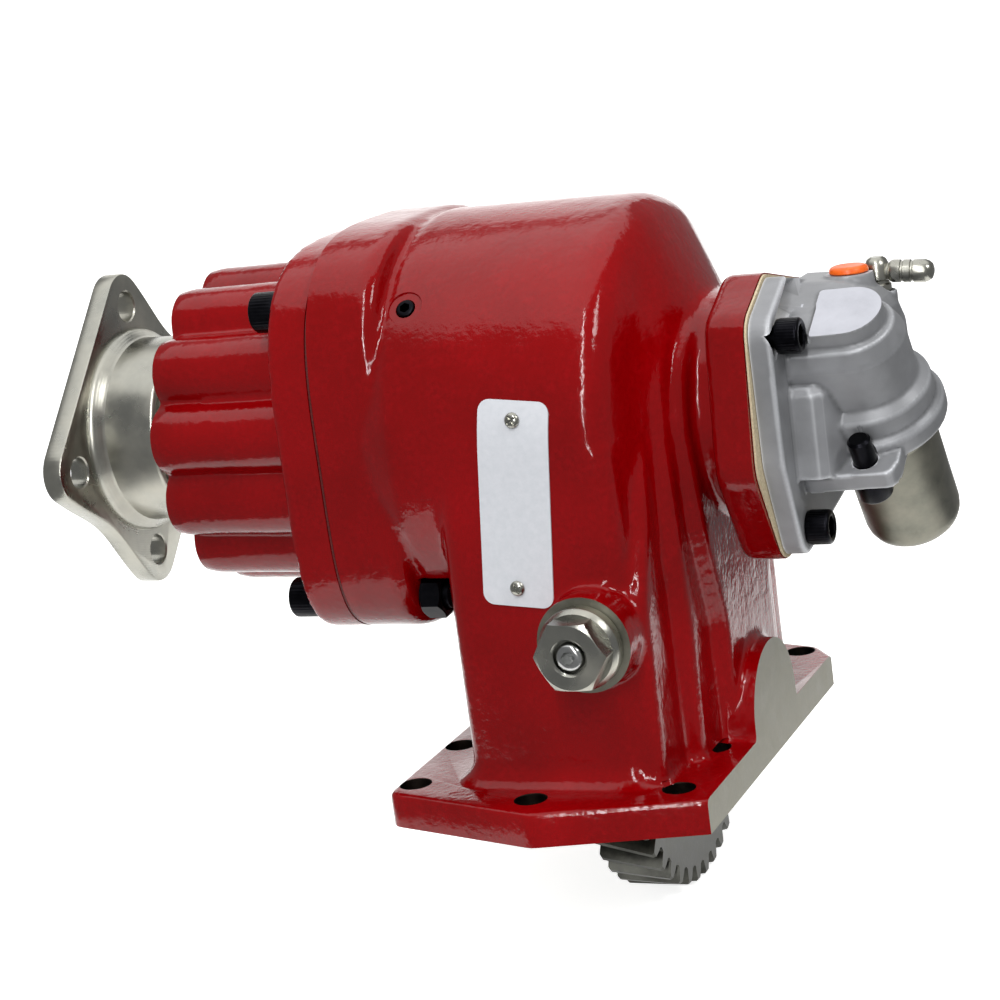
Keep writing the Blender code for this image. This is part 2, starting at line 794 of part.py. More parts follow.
companion = lofted(
    "companion",
    [
        (companion_face_x, companion_outline(-0.6)),
        (companion_face_x + 0.8, companion_outline()),
        (companion_back_x - 0.8, companion_outline()),
        (companion_back_x, companion_outline(-0.6)),
    ],
)
spline_radius = 15.5
seal_track_radius = 22.5
hub = turned(
    "hub",
    [
        (companion_face_x + 3, 0),
        (companion_face_x + 3, 39.0),
        (companion_back_x + 2.5, 39.0),
        (companion_back_x + 5.5, companion_hub_radius),
        (-157.0, companion_hub_radius),
        (-155.5, companion_hub_radius - 1.5),
        (-155.5, 27.0),
        (-151.5, 27.0),
        (-151.5, seal_track_radius),
        (hub_end_x, seal_track_radius),
        (hub_end_x, 0),
    ],
    facets_inside,
)
joined(companion, hub)
pilot_depth = 5.0
nut_seat_x = -165.5
companion_bore = turned(
    "companion_bore",
    [
        (companion_face_x - 1, 0),
        (companion_face_x - 1, companion_pilot_radius),
        (companion_face_x + pilot_depth, companion_pilot_radius),
        (companion_face_x + pilot_depth, 24.0),
        (nut_seat_x, 24.0),
        (nut_seat_x, spline_radius + touch_gap),
        (hub_end_x + 1, spline_radius + touch_gap),
        (hub_end_x + 1, 0),
    ],
    facets_inside,
)
cut(companion, companion_bore)
for y, z in companion_holes:
    through = rod("hole", companion_face_x - 1, companion_back_x + 1, companion_hole_radius, facets_small, y, z)
    cut(companion, through)
finished(companion, "companion_flange", zinc, 35)
nut_right_x = nut_seat_x - 2.5 - touch_gap
flange_washer = tube("flange_washer", nut_seat_x - 2.5, nut_seat_x - touch_gap, 12.6, 21.0)
finished(flange_washer, "flange_washer", zinc)
thread_radius = 12.0
flange_nut = hex_nut(
    "flange_nut", nut_right_x - 12, nut_right_x, 36.0, thread_radius + 0.35, 0.0, shaft_z, 12, facets_inside
)
finished(flange_nut, "flange_nut", zinc)
slinger = turned(
    "slinger",
    [
        (-151.0, seal_track_radius + touch_gap),
        (-151.0, 36.5),
        (-148.0, 38.5),
        (-145.5, 38.5),
        (-145.5, 37.3),
        (-147.5, 37.3),
        (-149.5, 35.5),
        (-149.5, seal_track_radius + touch_gap),
    ],
)
finished(slinger, "dust_slinger", zinc)
oil_seal = turned(
    "oil_seal",
    [
        (cap_left_x + 1.5, seal_track_radius + running_clearance),
        (cap_left_x + 1.5, seal_radius),
        (cap_left_x + 11.0, seal_radius),
        (cap_left_x + 11.0, seal_radius - 2),
        (cap_left_x + 4.5, seal_radius - 2.5),
        (cap_left_x + 4.5, 27.0),
        (cap_left_x + 10.0, 26.0),
        (cap_left_x + 10.0, seal_track_radius + running_clearance),
    ],
)
finished(oil_seal, "oil_seal", seal_rubber)

# Output shaft
shaft_end_x = 86.0
rear_journal = rear_bearing[0] - touch_gap
front_journal = front_bearing[0] - touch_gap
front_bearing_end = front_bearing_x + front_bearing[2]
shaft = turned(
    "output_shaft",
    [
        (nut_right_x - 15.5, 0),
        (nut_right_x - 15.5, thread_radius - 1),
        (nut_right_x - 14.5, thread_radius),
        (nut_seat_x + 1, thread_radius),
        (nut_seat_x + 2, spline_radius),
        (hub_end_x + touch_gap, spline_radius),
        (hub_end_x + touch_gap, front_journal),
        (front_bearing_end + touch_gap, front_journal),
        (front_bearing_end + touch_gap, 26.0),
        (front_bearing_end + 8, 26.0),
        (front_bearing_end + 8, clutch_shaft_radius),
        (gear_right + 1.8, clutch_shaft_radius),
        (gear_right + 1.8, rear_journal),
        (shaft_end_x - 14, rear_journal),
        (shaft_end_x - 14, 12.0),
        (shaft_end_x - 1, 12.0),
        (shaft_end_x, 11.0),
        (shaft_end_x, 0),
    ],
)
oil_way = rod("oil_way", -44.0, shaft_end_x + 1, 3.5)
cut(shaft, oil_way)
finished(shaft, "output_shaft", ground_steel)


def roller_bearing(name, x0, bearing, rollers):
    """Outer race, inner race and a caged set of rollers between them."""
    bore_radius, outer_radius, width = bearing
    track = (outer_radius - bore_radius) / 3
    inner_track = bore_radius + track
    outer_track = outer_radius - track
    x1 = x0 + width
    outer = tube(name + "_outer_race", x0, x1, outer_track, outer_radius)
    finished(outer, name + "_outer_race", ground_steel)
    inner = tube(name + "_inner_race", x0, x1, bore_radius, inner_track, facets_inside)
    finished(inner, name + "_inner_race", ground_steel)
    clear_track = outer_track * math.cos(math.pi / facets_inside)
    middle = (inner_track + clear_track) / 2
    roller = (clear_track - inner_track) / 2 - running_clearance
    cage_half = roller * 0.45
    cage = tube(name + "_cage", x0 + 4, x1 - 4, middle - cage_half, middle + cage_half)
    for k in range(rollers):
        angle = 2 * math.pi * k / rollers
        y = middle * math.cos(angle)
        z = shaft_z + middle * math.sin(angle)
        joined(cage, rod("roller", x0 + 2, x1 - 2, roller, 6, y, z))
    finished(cage, name + "_rollers", ground_steel)


roller_bearing("front_bearing", front_bearing_x, front_bearing, 9)
roller_bearing("rear_bearing", rear_bearing_x, rear_bearing, 9)
rear_bearing_end = rear_bearing_x + rear_bearing[2]
snap_inner = rear_bearing[0] + 0.3
bearing_snap = tube("rear_snap_ring", rear_bearing_end + touch_gap, rear_bearing_end + 2, snap_inner, 21.0)


def ring_gap(x0, x1, half_width, low, high):
    """A block that cuts the gap at the top of a snap ring."""
    outline = rounded_box(-half_width, half_width, shaft_z + low, shaft_z + high, 1, 1)
    return lofted("ring_gap", [(x0, outline), (x1, outline)])


cut(bearing_snap, ring_gap(rear_bearing_end - 2, rear_bearing_end + 5, 3, 10, 30))
finished(bearing_snap, "rear_snap_ring", spring_steel)
sleeve_bore = rear_bearing[0] + 0.1
shoulder_x = gear_right + 1.8
spacer_left_x = shoulder_x + 2.8
spacer = tube("spacer_sleeve", spacer_left_x, rear_bearing_x - touch_gap, sleeve_bore, 24.0)
finished(spacer, "spacer_sleeve", ground_steel)
thrust_bore = clutch_shaft_radius + 0.3
thrust = tube("gear_thrust_washer", gear_right + touch_gap, shoulder_x - touch_gap, thrust_bore, 33.0)
finished(thrust, "gear_thrust_washer", ground_steel)
backing = tube("backing_washer", shoulder_x + touch_gap, spacer_left_x - touch_gap, sleeve_bore, 28.0)
finished(backing, "backing_washer", ground_steel)

# Clutch gear with its splined hub, turning freely on the shaft
needle_radius = clutch_shaft_radius + 4.0
clutch_phase = -math.pi / 2
gear_hub_left = -26.0
clutch_gear = helical_gear(
    "clutch_gear", clutch_teeth, gear_left + 0.5, gear_right - 0.5, shaft_z, clutch_phase, -1
)
gear_hub = rod("gear_hub", gear_hub_left, gear_left + 3, gear_hub_radius, facets_inside, 0.0, shaft_z, 1.0)
joined(clutch_gear, gear_hub)
cut(clutch_gear, rod("gear_bore", gear_hub_left - 1, gear_right + 1, needle_radius, facets_inside))
for x0, x1 in ((gear_left - 1, gear_left + 4), (gear_right - 4, gear_right + 1)):
    cut(clutch_gear, tube("web", x0, x1, gear_hub_radius + 2, 46.0, facets_inside))
finished(clutch_gear, "clutch_gear", gear_steel)
needle_cage = tube(
    "clutch_needle_cage",
    gear_hub_left + 1,
    gear_right - 1,
    clutch_shaft_radius + running_clearance,
    needle_radius - running_clearance,
)
finished(needle_cage, "clutch_needle_cage", ground_steel)

# Clutch cup, fixed to the shaft
sleeve_radius = 27.0
sleeve_end_x = -28.0
cup_front_x = 2.0
cup = turned(
    "clutch_cup",
    [
        (cup_back_x, clutch_shaft_radius + touch_gap),
        (cup_back_x, cup_radius - 3),
        (cup_back_x + 3, cup_radius),
        (cup_front_x, cup_radius),
        (cup_front_x, cup_radius - cup_wall),
        (cup_back_x + 9, cup_radius - cup_wall),
        (cup_back_x + 9, sleeve_radius),
        (sleeve_end_x, sleeve_radius),
        (sleeve_end_x, clutch_shaft_radius + touch_gap),
    ],
)
for k in range(6):
    angle = 2 * math.pi * (k + 0.5) / 6
    way = (0.0, math.cos(angle), math.sin(angle))
    slot = aimed(rod("cup_slot", 40, 80, 5.0, 8, 0.0, 0.0), (-12.0, 0.0, shaft_z), way)
    cut(cup, slot)
finished(cup, "clutch_cup", gear_steel)
piston_left = cup_back_x + 9 + touch_gap
piston_right = piston_left + 9.0
piston = turned(
    "clutch_piston",
    [
        (piston_left, sleeve_radius + running_clearance),
        (piston_left, cup_radius - cup_wall - running_clearance),
        (piston_right + 3, cup_radius - cup_wall - running_clearance),
        (piston_right + 3, 44.0),
        (piston_right, 42.0),
        (piston_right, 36.0),
        (piston_right - 3, 35.0),
        (piston_right - 3, sleeve_radius + running_clearance),
    ],
)
finished(piston, "clutch_piston", ground_steel)

# Piston return spring
spring_wire = 1.2
spring_turns = 3.0
spring_mean = 31.2
spring_left = piston_right - 3 + touch_gap + spring_wire
spring_seat_x = -31.6
spring_right = spring_seat_x - touch_gap - spring_wire


def coil(name, x0, x1, mean, wire, turns, steps_per_turn=14, sides=4):
    """A coil spring about the shaft, flat at both ends where it sits."""
    rings = []
    count = int(turns * steps_per_turn)
    for k in range(count + 1):
        share = k / count
        rise = min(1.0, max(0.0, (share * turns - 0.5) / (turns - 1)))
        angle = 2 * math.pi * turns * share
        out = Vector((0, math.cos(angle), math.sin(angle)))
        centre = Vector((x0 + (x1 - x0) * rise, 0, shaft_z)) + out * mean
        ring = []
        for n in range(sides):
            around = 2 * math.pi * n / sides
            ring.append(centre + out * wire * math.cos(around) + Vector((1, 0, 0)) * wire * math.sin(around))
        rings.append(ring)
    return skin(name, rings)


spring = coil("piston_spring", spring_left, spring_right, spring_mean, spring_wire, spring_turns)
finished(spring, "piston_spring", spring_steel)
retainer = tube("spring_retainer", spring_seat_x, sleeve_end_x - 2.2, sleeve_radius + 0.3, 34.5)
finished(retainer, "spring_retainer", ground_steel)
sleeve_snap = tube("sleeve_snap_ring", sleeve_end_x - 2.2 + touch_gap, sleeve_end_x, sleeve_radius + 0.3, 30.0)
cut(sleeve_snap, ring_gap(sleeve_end_x - 4, sleeve_end_x + 2, 3, 20, 40))
finished(sleeve_snap, "sleeve_snap_ring", spring_steel)

# Clutch plates: steel ones turn with the cup, lined ones with the gear
stroke = 2.0
plate_x = piston_right + 3 + stroke + touch_gap
plate_inner = gear_hub_radius + 0.4
plate_outer = cup_radius - cup_wall - 0.4
steel_plate_inner = 38.5
for k in range(5):
    if k % 2:
        lined = tube("lined_plate", plate_x, plate_x + friction_thickness, plate_inner, 53.0)
        finished(lined, f"lined_plate_{k // 2 + 1}", friction_lining)
        plate_x += friction_thickness + plate_gap
    else:
        steel = tube("steel_plate", plate_x, plate_x + steel_thickness, steel_plate_inner, plate_outer)
        finished(steel, f"steel_plate_{k // 2 + 1}", ground_steel)
        plate_x += steel_thickness + plate_gap
end_plate_thickness = 6.0
end_plate = tube("clutch_end_plate", plate_x, plate_x + end_plate_thickness, steel_plate_inner, plate_outer)
finished(end_plate, "clutch_end_plate", ground_steel)
plate_x += end_plate_thickness + touch_gap
cup_inner = cup_radius - cup_wall
cup_snap = tube("cup_snap_ring", plate_x, plate_x + 2.2, cup_inner - 4.5, cup_inner - 0.3)
cut(cup_snap, ring_gap(plate_x - 1, plate_x + 4, 4, 40, 70))
finished(cup_snap, "cup_snap_ring", spring_steel)

# Input gear on its fixed shaft
input_bore = idler_shaft_radius + 4.0
half_pitch = math.pi / input_teeth
input_phase = math.pi / 2 + half_pitch
input_gear = helical_gear("input_gear", input_teeth, gear_left, gear_right, input_axis_z, input_phase, 1)
cut(input_gear, rod("input_bore", gear_left - 1, gear_right + 1, input_bore, facets_boss, 0.0, input_axis_z))
finished(input_gear, "input_gear", gear_steel)
idler_left_x = neck_left_x - 8.0
idler_right_x = idler_end_x - touch_gap
idler_shaft = rod(
    "idler_shaft", idler_left_x, idler_right_x, idler_shaft_radius, facets_boss, 0.0, input_axis_z, 1.0
)
finished(idler_shaft, "idler_shaft", ground_steel)
input_cage = tube(
    "input_needle_cage",
    gear_left + 1,
    gear_right - 1,
    idler_shaft_radius + running_clearance,
    input_bore - running_clearance,
    facets_boss,
    0.0,
    input_axis_z,
)
finished(input_cage, "input_needle_cage", ground_steel)
washer_places = (
    ("input_thrust_washer_left", gear_left - thrust_washer_width - touch_gap),
    ("input_thrust_washer_right", gear_right + touch_gap),
)
washer_bore = idler_shaft_radius + running_clearance
for name, x0 in washer_places:
    washer = tube(name, x0, x0 + thrust_washer_width, washer_bore, 13.8, facets_boss, 0.0, input_axis_z)
    finished(washer, name, ground_steel)

# Alloy cover, with a valve barrel that leans towards its lug
barrel_centre = Vector((110.6, 0.0, 115.0))
barrel_up = Vector((-0.047, -0.488, 0.872)).normalized()


def leaning(name, sections):
    """A loft up the barrel's axis through (x, y) outlines, from (height, outline) pairs about its centre."""
    side = Vector((1, 0, 0))
    side = (side - barrel_up * side.dot(barrel_up)).normalized()
    ahead = barrel_up.cross(side)
    rings = []
    for height, outline in sections:
        rings.append([barrel_centre + barrel_up * height + side * x + ahead * y for x, y in outline])
    return skin(name, rings)


def leaning_round(name, profile, segments=facets_inside, at=(0.0, 0.0)):
    """A turned shape up the barrel's axis from (height, radius) points, the first and last on the axis."""
    sections = []
    for height, radius in profile:
        sections.append((height, [at] if radius == 0 else circle_points(radius, segments, at)))
    return leaning(name, sections)


cover = lofted(
    "cover",
    [
        (cover_flange_left_x, cover_outline(8.8, 9.6)),
        (cover_flange_right_x - 1.2, cover_outline(8.8, 9.6)),
        (cover_flange_right_x, cover_outline(7.6, 8.4)),
    ],
)
# Corners of the cover's body, from the bottom round by the far side
body_corners = [(-20, 98), (6, 93), (27, 104), (31, 130), (27, 158)]
body_corners += [(13, 168.5), (-10, 168.5), (-27, 160), (-33, 140), (-31, 112)]
body_middle_z = 135.0


def body_outline(share):
    """The outline of the cover's body, drawn in towards its middle."""
    shrunk = [(y * share, body_middle_z + (z - body_middle_z) * share) for y, z in body_corners]
    return rounded_polygon(shrunk, 5.0, 2)


body = lofted(
    "body",
    [
        (cover_flange_right_x - 3, body_outline(1.0)),
        (100.0, body_outline(0.99)),
        (107.0, body_outline(0.95)),
        (113.0, body_outline(0.84)),
        (117.0, body_outline(0.66)),
    ],
)
barrel_foot = 5.9
can_hole_radius = 17.8
fitting_seat_z = 159.5
valve_bore_radius = 11.0
barrel = leaning_round(
    "barrel",
    [
        (barrel_foot, 0),
        (barrel_foot, 22.0),
        (8.0, 22.8),
        (14.0, 22.4),
        (18.0, 19.4),
        (21.0, 18.2),
        (32.0, 17.2),
        (42.0, 15.8),
        (47.0, 14.2),
        (52.5, 11.8),
        (52.5, 0),
    ],
)
lug_level = 8.3
lug_bottom = 1.4
lug_outline = rounded_polygon([(-22, -32), (9, -32), (11, -26), (11, 4), (-22, 4)], 3.0)
lug = leaning("lug", [(lug_bottom, lug_outline), (lug_level, lug_outline)])
cap_port = (103.2, 0.5)
port_top_z = 169.0
cap_boss = lofted(
    "cap_boss",
    [
        (150.0, circle_points(10.0, facets_inside, cap_port)),
        (port_top_z - 1, circle_points(8.0, facets_inside, cap_port)),
        (port_top_z, circle_points(7.4, facets_inside, cap_port)),
    ],
    "Z",
)
fitting_at = (110.6, 9.2)
fitting_boss = lofted(
    "fitting_boss",
    [
        (136.0, circle_points(8.0, 16, (fitting_at[0] - 2, fitting_at[1]))),
        (fitting_seat_z, circle_points(6.0, 16, fitting_at)),
    ],
    "Z",
)
joined(cover, body, barrel, lug, cap_boss, fitting_boss)
can_clearance = leaning_round(
    "can_clearance", [(barrel_foot, 0), (barrel_foot, can_hole_radius), (-70.0, can_hole_radius), (-70.0, 0)]
)
pocket = lofted(
    "pocket",
    [
        (110.0, rounded_polygon([(90.5, -60), (100, -60), (100, -24), (90.5, -24)], 2.0, 2)),
        (131.0, rounded_polygon([(90.5, -60), (98, -60), (98, -26), (90.5, -26)], 2.0, 2)),
    ],
    "Z",
)
hydraulic_recess = turned(
    "hydraulic_recess",
    [
        (cover_flange_left_x - 1, 0),
        (cover_flange_left_x - 1, 24.0),
        (cover_flange_left_x + 12, 24.0),
        (cover_flange_left_x + 12, 0),
    ],
)
lug_screw_at = (-0.5, -25.0)
lug_shank = 3.95
lug_head = 6.0


def lug_cutter(name, low, high, radius):
    return leaning_round(name, [(low, 0), (low, radius), (high, radius), (high, 0)], facets_small, lug_screw_at)


lug_hole = lug_cutter("lug_hole", -20, 30, lug_shank + screw_clearance)
lug_spot = lug_cutter("lug_spot", -20, lug_bottom, lug_head + 1.4)
lug_top_spot = lug_cutter("lug_top_spot", lug_level, 22, lug_head + 0.2)
stem_radius = 3.7
stem_hole = stem_radius + touch_gap + 0.05
hole_facets = 12


def upright(name, levels, at):
    """An upright round shape from (height, radius) levels."""
    return lofted(name, [(z, circle_points(radius, hole_facets, at)) for z, radius in levels], "Z")


cap_port_hole = upright("cap_port_hole", [(158.0, stem_hole), (port_top_z + 1, stem_hole)], cap_port)
fitting_hole = upright("fitting_hole", [(149.0, stem_hole), (fitting_seat_z + 2.5, stem_hole)], fitting_at)
fitting_spot = upright("fitting_spot", [(fitting_seat_z, 5.2), (176.0, 6.5)], fitting_at)
valve_bore = leaning_round(
    "valve_bore", [(5.0, 0), (5.0, valve_bore_radius), (22.0, valve_bore_radius), (22.0, 0)]
)
cut(cover, can_clearance, pocket, hydraulic_recess, lug_hole, lug_spot, lug_top_spot)
cut(cover, cap_port_hole, fitting_hole, fitting_spot, valve_bore)
spot_radius = cover_head_radius + 0.8
for y, z in cover_screws:
    x0 = cover_flange_left_x - 1
    x1 = cover_flange_right_x
    cut(cover, rod("cover_hole", x0, x1 + 1, cover_screw_hole, facets_small, y, z))
    cut(cover, rod("cover_spot", x1, x1 + 16, spot_radius, facets_small, y, z))
finished(cover, "alloy_cover", cast_alloy, 35)
for k, (y, z) in enumerate(cover_screws):
    name = f"cover_screw_{k + 1}"
    seat_x = cover_flange_right_x + touch_gap
    tip = cover_face_x - 9
    screw = socket_screw(name, seat_x, tip, cover_screw_radius, cover_head_radius, cover_head_height, y, z, -1)
    finished(screw, name, black_oxide)

# Fittings on the cover
can = leaning_round(
    "can",
    [
        (21.0, 0),
        (21.0, valve_bore_radius - 0.4),
        (barrel_foot - touch_gap, valve_bore_radius - 0.4),
        (barrel_foot - touch_gap, 16.6),
        (4.4, 17.3),
        (-5.0, 16.9),
        (-37.0, 16.8),
        (-42.0, 15.0),
        (-44.5, 11.0),
        (-45.7, 0),
    ],
)
finished(can, "valve_can", zinc)
cap_seat_z = port_top_z + touch_gap
cap_levels = [(160.0, stem_radius), (cap_seat_z, stem_radius), (cap_seat_z, 6.6)]
cap_levels += [(port_top_z + 1.8, 6.4), (port_top_z + 2.6, 5.2)]
orange_cap = upright("orange_cap", cap_levels, cap_port)
finished(orange_cap, "orange_cap", orange_plastic)
fitting_levels = [(150.0, stem_radius), (fitting_seat_z + touch_gap, stem_radius)]
fitting_levels += [(fitting_seat_z + touch_gap, 4.4), (170.0, 4.2), (172.5, 2.6)]
fitting = upright("fitting", fitting_levels, fitting_at)
elbow = turned(
    "elbow",
    [
        (0.0, 0),
        (0.0, 2.6),
        (4.0, 2.8),
        (5.5, 3.9),
        (16.5, 3.9),
        (18.5, 3.0),
        (19.3, 0),
    ],
    facets_small,
    0.0,
    0.0,
)
aimed(elbow, (fitting_at[0], fitting_at[1], 167.6), (1, 0.05, -0.07))
joined(fitting, elbow)
finished(fitting, "elbow_fitting", zinc)
lug_screw = leaning_round(
    "lug_screw",
    [
        (-6.6, 0),
        (-6.6, lug_head - 0.4),
        (-6.0, lug_head),
        (lug_bottom - touch_gap, lug_head),
        (lug_bottom - touch_gap, lug_shank),
        (17.4, lug_shank),
        (18.3, 3.1),
        (18.3, 0),
    ],
    facets_small,
    lug_screw_at,
)
lug_socket = leaning("lug_socket", [(-8.0, hexagon(6.4, lug_screw_at)), (-2.5, hexagon(6.4, lug_screw_at))])
cut(lug_screw, lug_socket)
finished(lug_screw, "lug_screw", black_oxide)

# Hex port fitting with a socket stud in it
port_hex = lofted("port_hex", [(5.6, hexagon(22.2)), (14.0, hexagon(22.2))])
port_profile = [(-22.0, 0), (-22.0, 7.6), (touch_gap, 7.6), (touch_gap, 14.0)]
port_profile += [(5.0, 14.0), (6.5, 12.6), (6.5, 0)]
port_round = turned("port_round", port_profile, facets_inside, 0.0, 0.0)
port_chamfer_profile = [(4.0, 0), (4.0, 13.5), (12.6, 13.5), (14.0, 11.3), (14.0, 0)]
combined(port_hex, turned("port_chamfer", port_chamfer_profile, facets_boss, 0.0, 0.0), "INTERSECT")
joined(port_round, port_hex)
stud_radius = 4.1
stud_hole_radius = stud_radius + 0.3
stud_hole_profile = [(-23, 0), (-23, stud_hole_radius), (10.0, stud_hole_radius)]
stud_hole_profile += [(10.0, 5.6), (15, 5.6), (15, 0)]
cut(port_round, turned("stud_hole", stud_hole_profile, facets_small, 0.0, 0.0))
aimed(port_round, port_seat, port_way)
finished(port_round, "port_fitting", zinc)
stud_profile = [(-18, 0), (-18, stud_radius), (13.2, stud_radius), (14.4, stud_radius - 1.2), (14.4, 0)]
stud = turned("stud", stud_profile, facets_small, 0.0, 0.0)
cut(stud, lofted("stud_socket", [(9.5, hexagon(4.4)), (16.0, hexagon(4.4))]))
aimed(stud, port_seat, port_way)
finished(stud, "port_stud", zinc)

# Black plug in the drum's shoulder
plug_profile = [(-9.0, 0), (-9.0, 3.3), (-0.6, 3.3), (0.0, 2.9), (0.0, 0)]
pipe_plug = turned("pipe_plug", plug_profile, facets_small, 0.0, 0.0)
cut(pipe_plug, lofted("plug_socket", [(-4.0, hexagon(3.4)), (1.0, hexagon(3.4))]))
aimed(pipe_plug, plug_seat, plug_way)
finished(pipe_plug, "pipe_plug", black_oxide)

# Label plate, bent to the front wall, and its two drive screws
label_rows = 8
label_gap = touch_gap
label_thickness = 0.6
mesh = bmesh.new()
half_wide = label_size[0] / 2
half_tall = label_size[1] / 2
outline = rounded_box(-half_wide, half_wide, -half_tall, half_tall, 4.0, 3)
label = lofted("label", [(-5.0, outline), (5.0, outline)], "Z")
mesh.from_mesh(label.data)
bpy.data.objects.remove(label, do_unlink=True)
for row in range(1, label_rows):
    height = (row / label_rows - 0.5) * label_size[1] * mm
    geometry = mesh.verts[:] + mesh.edges[:] + mesh.faces[:]
    bmesh.ops.bisect_plane(mesh, geom=geometry, plane_co=(0, height, 0), plane_no=(0, 1, 0), dist=1e-7)
for vertex in mesh.verts:
    along = vertex.co.x / mm
    up = vertex.co.y / mm
    x = label_centre[0] + along * math.cos(label_tilt) + up * math.sin(label_tilt)
    z = label_centre[1] - along * math.sin(label_tilt) + up * math.cos(label_tilt)
    lift = label_gap if vertex.co.z < 0 else label_gap + label_thickness
    vertex.co = Vector((x, wall_y(z), z)) + wall_way(z) * lift
label = object_from("label_plate", mesh)
for x, z in label_screws:
    cut(label, aimed(rod("label_hole", -4, 4, 1.5, facets_small, 0.0, 0.0), (x, wall_y(z), z), wall_way(z)))
finished(label, "label_plate", label_stock)
seat = 2 * label_gap + label_thickness
pin_radius = 1.2
pin_profile = [(-5.0, 0), (-5.0, pin_radius), (seat, pin_radius), (seat, 2.6)]
pin_profile += [(seat + 0.5, 2.4), (seat + 1.3, 1.2), (seat + 1.5, 0)]
for k, (x, z) in enumerate(label_screws):
    name = f"drive_screw_{k + 1}"
    pin = turned(name, pin_profile, facets_small, 0.0, 0.0)
    aimed(pin, (x, wall_y(z), z), wall_way(z))
    finished(pin, name, zinc)

bpy.context.view_layer.update()
print("sub-parts:", len([item for item in bpy.data.objects if item.type == "MESH"]))
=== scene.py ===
import json
import math

import bmesh
import bpy
from mathutils import Matrix, Vector, noise


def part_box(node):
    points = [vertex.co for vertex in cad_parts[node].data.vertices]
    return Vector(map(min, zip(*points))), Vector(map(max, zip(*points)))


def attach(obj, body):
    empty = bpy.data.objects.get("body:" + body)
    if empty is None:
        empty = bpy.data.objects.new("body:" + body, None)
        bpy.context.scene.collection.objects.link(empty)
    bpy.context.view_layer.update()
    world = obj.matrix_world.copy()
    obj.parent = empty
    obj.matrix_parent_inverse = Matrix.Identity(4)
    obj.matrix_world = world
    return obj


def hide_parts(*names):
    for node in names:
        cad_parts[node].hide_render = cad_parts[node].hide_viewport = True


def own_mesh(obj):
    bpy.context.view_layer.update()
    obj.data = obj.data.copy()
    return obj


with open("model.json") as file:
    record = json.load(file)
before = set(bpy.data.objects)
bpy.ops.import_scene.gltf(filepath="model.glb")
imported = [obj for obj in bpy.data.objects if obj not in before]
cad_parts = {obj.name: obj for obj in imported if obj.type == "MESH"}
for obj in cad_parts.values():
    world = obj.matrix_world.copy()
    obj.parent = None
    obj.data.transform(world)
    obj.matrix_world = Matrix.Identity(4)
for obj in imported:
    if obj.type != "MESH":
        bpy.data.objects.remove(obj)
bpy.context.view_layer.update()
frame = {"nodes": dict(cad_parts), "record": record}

mm = 0.001
shaftZ = 128.0          # height of the output shaft, mm
gearZ = 14.0            # height of the input gear's shaft, mm


# Shapes: everything is written in mm and becomes metres in asObject
def linked(name, data):
    item = bpy.data.objects.new(name, data)
    bpy.context.scene.collection.objects.link(item)
    return item


def asObject(name, mesh, smoothAngle=32):
    bmesh.ops.recalc_face_normals(mesh, faces=mesh.faces)
    bmesh.ops.scale(mesh, vec=Vector((mm, mm, mm)), verts=mesh.verts)
    data = bpy.data.meshes.new(name)
    mesh.to_mesh(data)
    mesh.free()
    return shaded(linked(name, data), smoothAngle)


def skin(rings, loop=False):
    # joins rings of points one after the other, a ring of one point is a tip
    mesh = bmesh.new()
    made = [[mesh.verts.new(point) for point in ring] for ring in rings]
    pairs = list(zip(made, made[1:]))
    if loop:
        pairs.append((made[-1], made[0]))
    for first, second in pairs:
        count = max(len(first), len(second))
        for k in range(count):
            corners = [first[k % len(first)], first[(k + 1) % len(first)]]
            corners += [second[(k + 1) % len(second)], second[k % len(second)]]
            mesh.faces.new(list(dict.fromkeys(corners)))
    if not loop:
        for ring in (made[0], made[-1]):
            if len(ring) > 2:
                mesh.faces.new(ring)
    return mesh


def polar(reach, angle, y=0.0, z=shaftZ):
    return y + reach * math.cos(angle), z + reach * math.sin(angle)


def turned(profile, segments=96, y=0.0, z=shaftZ):
    # a shape turned about a line along X, from (x, radius) points
    rings = []
    for x, radius in profile:
        if radius == 0:
            rings.append([Vector((x, y, z))])
            continue
        angles = [2 * math.pi * (k + 0.5) / segments for k in range(segments)]
        rings.append([Vector((x, *polar(radius, angle, y, z))) for angle in angles])
    return skin(rings, profile[0][1] > 0)


def rod(x0, x1, radius, segments=48, y=0.0, z=shaftZ, bevel=0.0):
    edge = [(x0, radius), (x1, radius)]
    if bevel:
        edge = [(x0, radius - bevel), (x0 + bevel * 0.3, radius - bevel * 0.3), (x0 + bevel, radius)]
        edge += [(x1 - bevel, radius), (x1 - bevel * 0.3, radius - bevel * 0.3), (x1, radius - bevel)]
    return turned([(x0, 0), *edge, (x1, 0)], segments, y, z)


def lofted(sections, axis="X"):
    # outlines one behind the other along X or Z
    rings = []
    for at, outline in sections:
        rings.append([Vector((at, a, b) if axis == "X" else (a, b, at)) for a, b in outline])
    return skin(rings)


def aimed(mesh, start, direction):
    # turns a shape made along X from the origin to point along a direction
    turn = Vector((1, 0, 0)).rotation_difference(Vector(direction)).to_matrix().to_4x4()
    bmesh.ops.transform(mesh, matrix=Matrix.Translation(Vector(start)) @ turn, verts=mesh.verts)
    return mesh


def upright(profile, segments=40, at=(0.0, 0.0)):
    # round about a vertical line, from (height, radius) points
    return lofted([(height, circle(radius, segments, at)) for height, radius in profile], "Z")


def block(x0, x1, y0, y1, z0, z1):
    outline = [(x1, y1), (x0, y1), (x0, y0), (x1, y0)]
    return lofted([(z0, outline), (z1, outline)], "Z")


def circle(radius, count=48, centre=(0.0, 0.0), start=0.0):
    return [polar(radius, start + 2 * math.pi * k / count, *centre) for k in range(count)]


